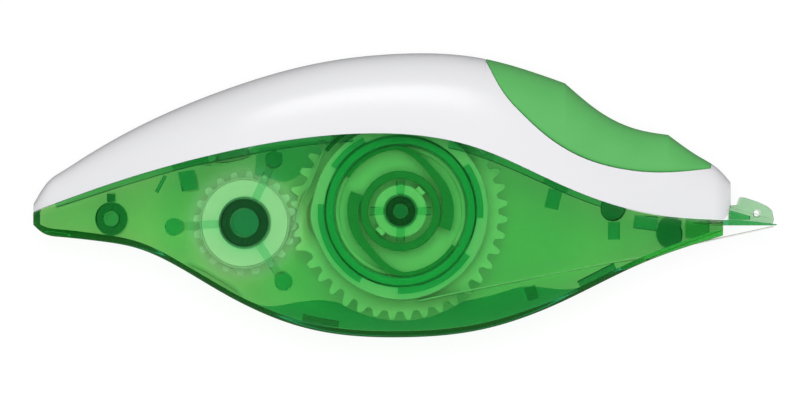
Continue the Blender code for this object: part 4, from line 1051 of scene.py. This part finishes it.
run = GUIDE_RADIUS + STRAND
film_start, film_meet = touching(TIP_EDGE + (-2 * CLEAR, 2 * STRAND), 0, drive_axle, run, -1)
near = ROLL_RADIUS + GUIDE_GAP
nearest, film_end = touching(drive_axle, near, takeup_axle, WRAP_RADIUS + STRAND, -1, crossing=True)
back = (nearest - film_end) / np.linalg.norm(nearest - film_end)
film_leave = nearest + math.sqrt(run ** 2 - near ** 2) * back
film_path = np.concatenate((np.linspace(film_start, film_meet, 30, endpoint=False),
                            arc(drive_axle, run, angle_at(film_meet), angle_at(film_leave)),
                            np.linspace(film_leave, film_end, 12)[1:]))
piece("film_strand", [strip(film_path, TAPE_THICK, tape_floor, tape_top)], bare_film, "case",
      "bare_film", "return_liner")

# %% [markdown]
# The dispenser lies on a white sweep, seen from straight above. The white of the sweep is light given to
# camera rays and, weaker, to see-through and mirror rays, so it doesn't spill on the object. A share of
# plain paint under it keeps the shadow.

# %% Floor
CAMERA_SHARE, CAMERA_GLOW, MIRROR_GLOW, THROUGH_SHARE, THROUGH_GLOW = 0.85, 1.04, 0.05, 0.5, 0.75
CARD, CARD_SPILL = "#F4F4F4", "#C8C8C8"
FLOOR_REACH, FLOOR_DROP = 2.0, 0.0002
floor_material, tree = empty_material("white_paper")
path = add(tree, "ShaderNodeLightPath").outputs
through, spilt = path["Is Transmission Ray"], path["Is Diffuse Ray"]
seen = add(tree, "ShaderNodeMix", {"Factor": path["Is Camera Ray"], 2: MIRROR_GLOW, 3: CAMERA_GLOW})
level = add(tree, "ShaderNodeMix", {"Factor": through, 2: seen.outputs[0], 3: THROUGH_GLOW})
glow = add(tree, "ShaderNodeEmission", {"Color": linear("#FFFFFF"), "Strength": level.outputs[0]})
card = add(tree, "ShaderNodeMix", {"Factor": spilt, 6: linear(CARD), 7: linear(CARD_SPILL)},
           data_type="RGBA")
paint = add(tree, "ShaderNodeBsdfDiffuse", {"Color": card.outputs[2]})
direct = add(tree, "ShaderNodeMix", {"Factor": spilt, 2: CAMERA_SHARE, 3: 0.0})
share = add(tree, "ShaderNodeMix", {"Factor": through, 2: direct.outputs[0], 3: THROUGH_SHARE})
both = add(tree, "ShaderNodeMixShader", {0: share.outputs[0], 1: paint.outputs[0], 2: glow.outputs[0]})
add(tree, "ShaderNodeOutputMaterial", {"Surface": both.outputs[0]})
reach = np.array((-FLOOR_REACH, FLOOR_REACH))
corners = np.stack((*np.meshgrid(reach, reach, indexing="ij"), np.full((2, 2), -FLOOR_DROP)), axis=2)
floor_mesh = bpy.data.meshes.new("floor")
floor_points, floor_quads = sheet(corners)
floor_mesh.from_pydata(floor_points.tolist(), [], floor_quads.tolist())
floor_mesh.materials.append(floor_material)
floor = bpy.data.objects.new("floor", floor_mesh)
bpy.context.scene.collection.objects.link(floor)
print("floor, m:", 2 * FLOOR_REACH)

# %% [markdown]
# A room lights the object evenly from all round. A bright sky would also be mirrored all over the plastic,
# so mirrored rays see it dim, and dimmest overhead. Rays that have come through the plastic see a little
# more of it.

# %% Sky
SKY_LEVEL, RIM_MIRRORED, RIM_THROUGH, TOP_MIRRORED, TOP_THROUGH = 0.30, 0.2, 0.3, 0.05, 0.2
RIM_HEIGHT, TOP_HEIGHT = 0.2, 0.9
world = bpy.data.worlds.new("studio")
world.use_nodes = True
tree = world.node_tree
tree.nodes.clear()
direction = add(tree, "ShaderNodeTexCoord").outputs["Generated"]
height = add(tree, "ShaderNodeSeparateXYZ", {0: direction}).outputs["Z"]
path = add(tree, "ShaderNodeLightPath").outputs
through = path["Is Transmission Ray"]
rim = add(tree, "ShaderNodeMix", {"Factor": through, 2: RIM_MIRRORED, 3: RIM_THROUGH}).outputs[0]
top = add(tree, "ShaderNodeMix", {"Factor": through, 2: TOP_MIRRORED, 3: TOP_THROUGH}).outputs[0]
mirrored = add(tree, "ShaderNodeMapRange", {"Value": height, "From Min": RIM_HEIGHT, "From Max": TOP_HEIGHT,
                                            "To Min": rim, "To Max": top}).outputs["Result"]
level = add(tree, "ShaderNodeMix", {"Factor": path["Is Glossy Ray"], 2: SKY_LEVEL, 3: mirrored}).outputs[0]
sky = add(tree, "ShaderNodeBackground", {"Color": linear("#FFFFFF"), "Strength": level})
add(tree, "ShaderNodeOutputWorld", {"Surface": sky.outputs[0]})
bpy.context.scene.world = world
print("sky level:", SKY_LEVEL)

# %% [markdown]
# Two square softboxes do the rest: a large one straight above, which leaves no mirror image, and a smaller
# one behind, whose image is the highlight along the cover. Their power follows from the share of full white
# that each one gives, so they can be weighed against the sky.

# %% Lamps
LAMP_DISTANCE = 0.9


def softbox(name, azimuth, tilt, size, share, mirrored):
    """Square lamp, tilted from the zenith to an azimuth; at a share of 1 it alone shows white as white."""
    azimuth, tilt = math.radians(azimuth), math.radians(tilt)
    data = bpy.data.lights.new(name, "AREA")
    data.shape = "SQUARE"
    data.size = size
    data.energy = share * math.pi ** 2 * LAMP_DISTANCE ** 2
    made = bpy.data.objects.new(name, data)
    flat = math.sin(tilt) * LAMP_DISTANCE
    made.location = (flat * math.cos(azimuth), flat * math.sin(azimuth), math.cos(tilt) * LAMP_DISTANCE)
    made.rotation_euler = (0, tilt, azimuth)
    made.visible_glossy = mirrored
    made.visible_transmission = False
    bpy.context.scene.collection.objects.link(made)
    print(name, "W:", round(data.energy, 2))


softbox("front_softbox", azimuth=90, tilt=0, size=0.5, share=0.64, mirrored=False)
softbox("back_softbox", azimuth=90, tilt=24, size=0.28, share=0.16, mirrored=True)

# %% [markdown]
# The photograph looks straight down on the side of the dispenser through a long lens, so nothing leans
# with perspective. Its frame is 800 by 400 pixels at 6 pixels to the millimetre.

# %% Camera
PIXELS_WIDE, PIXELS_PER_MM, CAMERA_DISTANCE = 800, 6, 1500
FRAME_CENTRE, SENSOR_WIDTH, SIGHT_END = (-0.667, -0.667), 36, 10
camera_data = bpy.data.cameras.new("camera")
camera_data.sensor_width = SENSOR_WIDTH
camera_data.lens = camera_data.sensor_width * CAMERA_DISTANCE / (PIXELS_WIDE / PIXELS_PER_MM)
camera_data.clip_end = SIGHT_END
camera = bpy.data.objects.new("camera", camera_data)
camera.location = (FRAME_CENTRE[0] * MM, FRAME_CENTRE[1] * MM, (HALF + CAMERA_DISTANCE) * MM)
bpy.context.scene.collection.objects.link(camera)
bpy.context.scene.camera = camera
bpy.context.scene.view_settings.view_transform = "Standard"
print("lens, mm:", round(camera_data.lens, 1))

# %% [markdown]
# Dressing the part must not change its size.

# %% Update, and the end
bpy.context.view_layer.update()
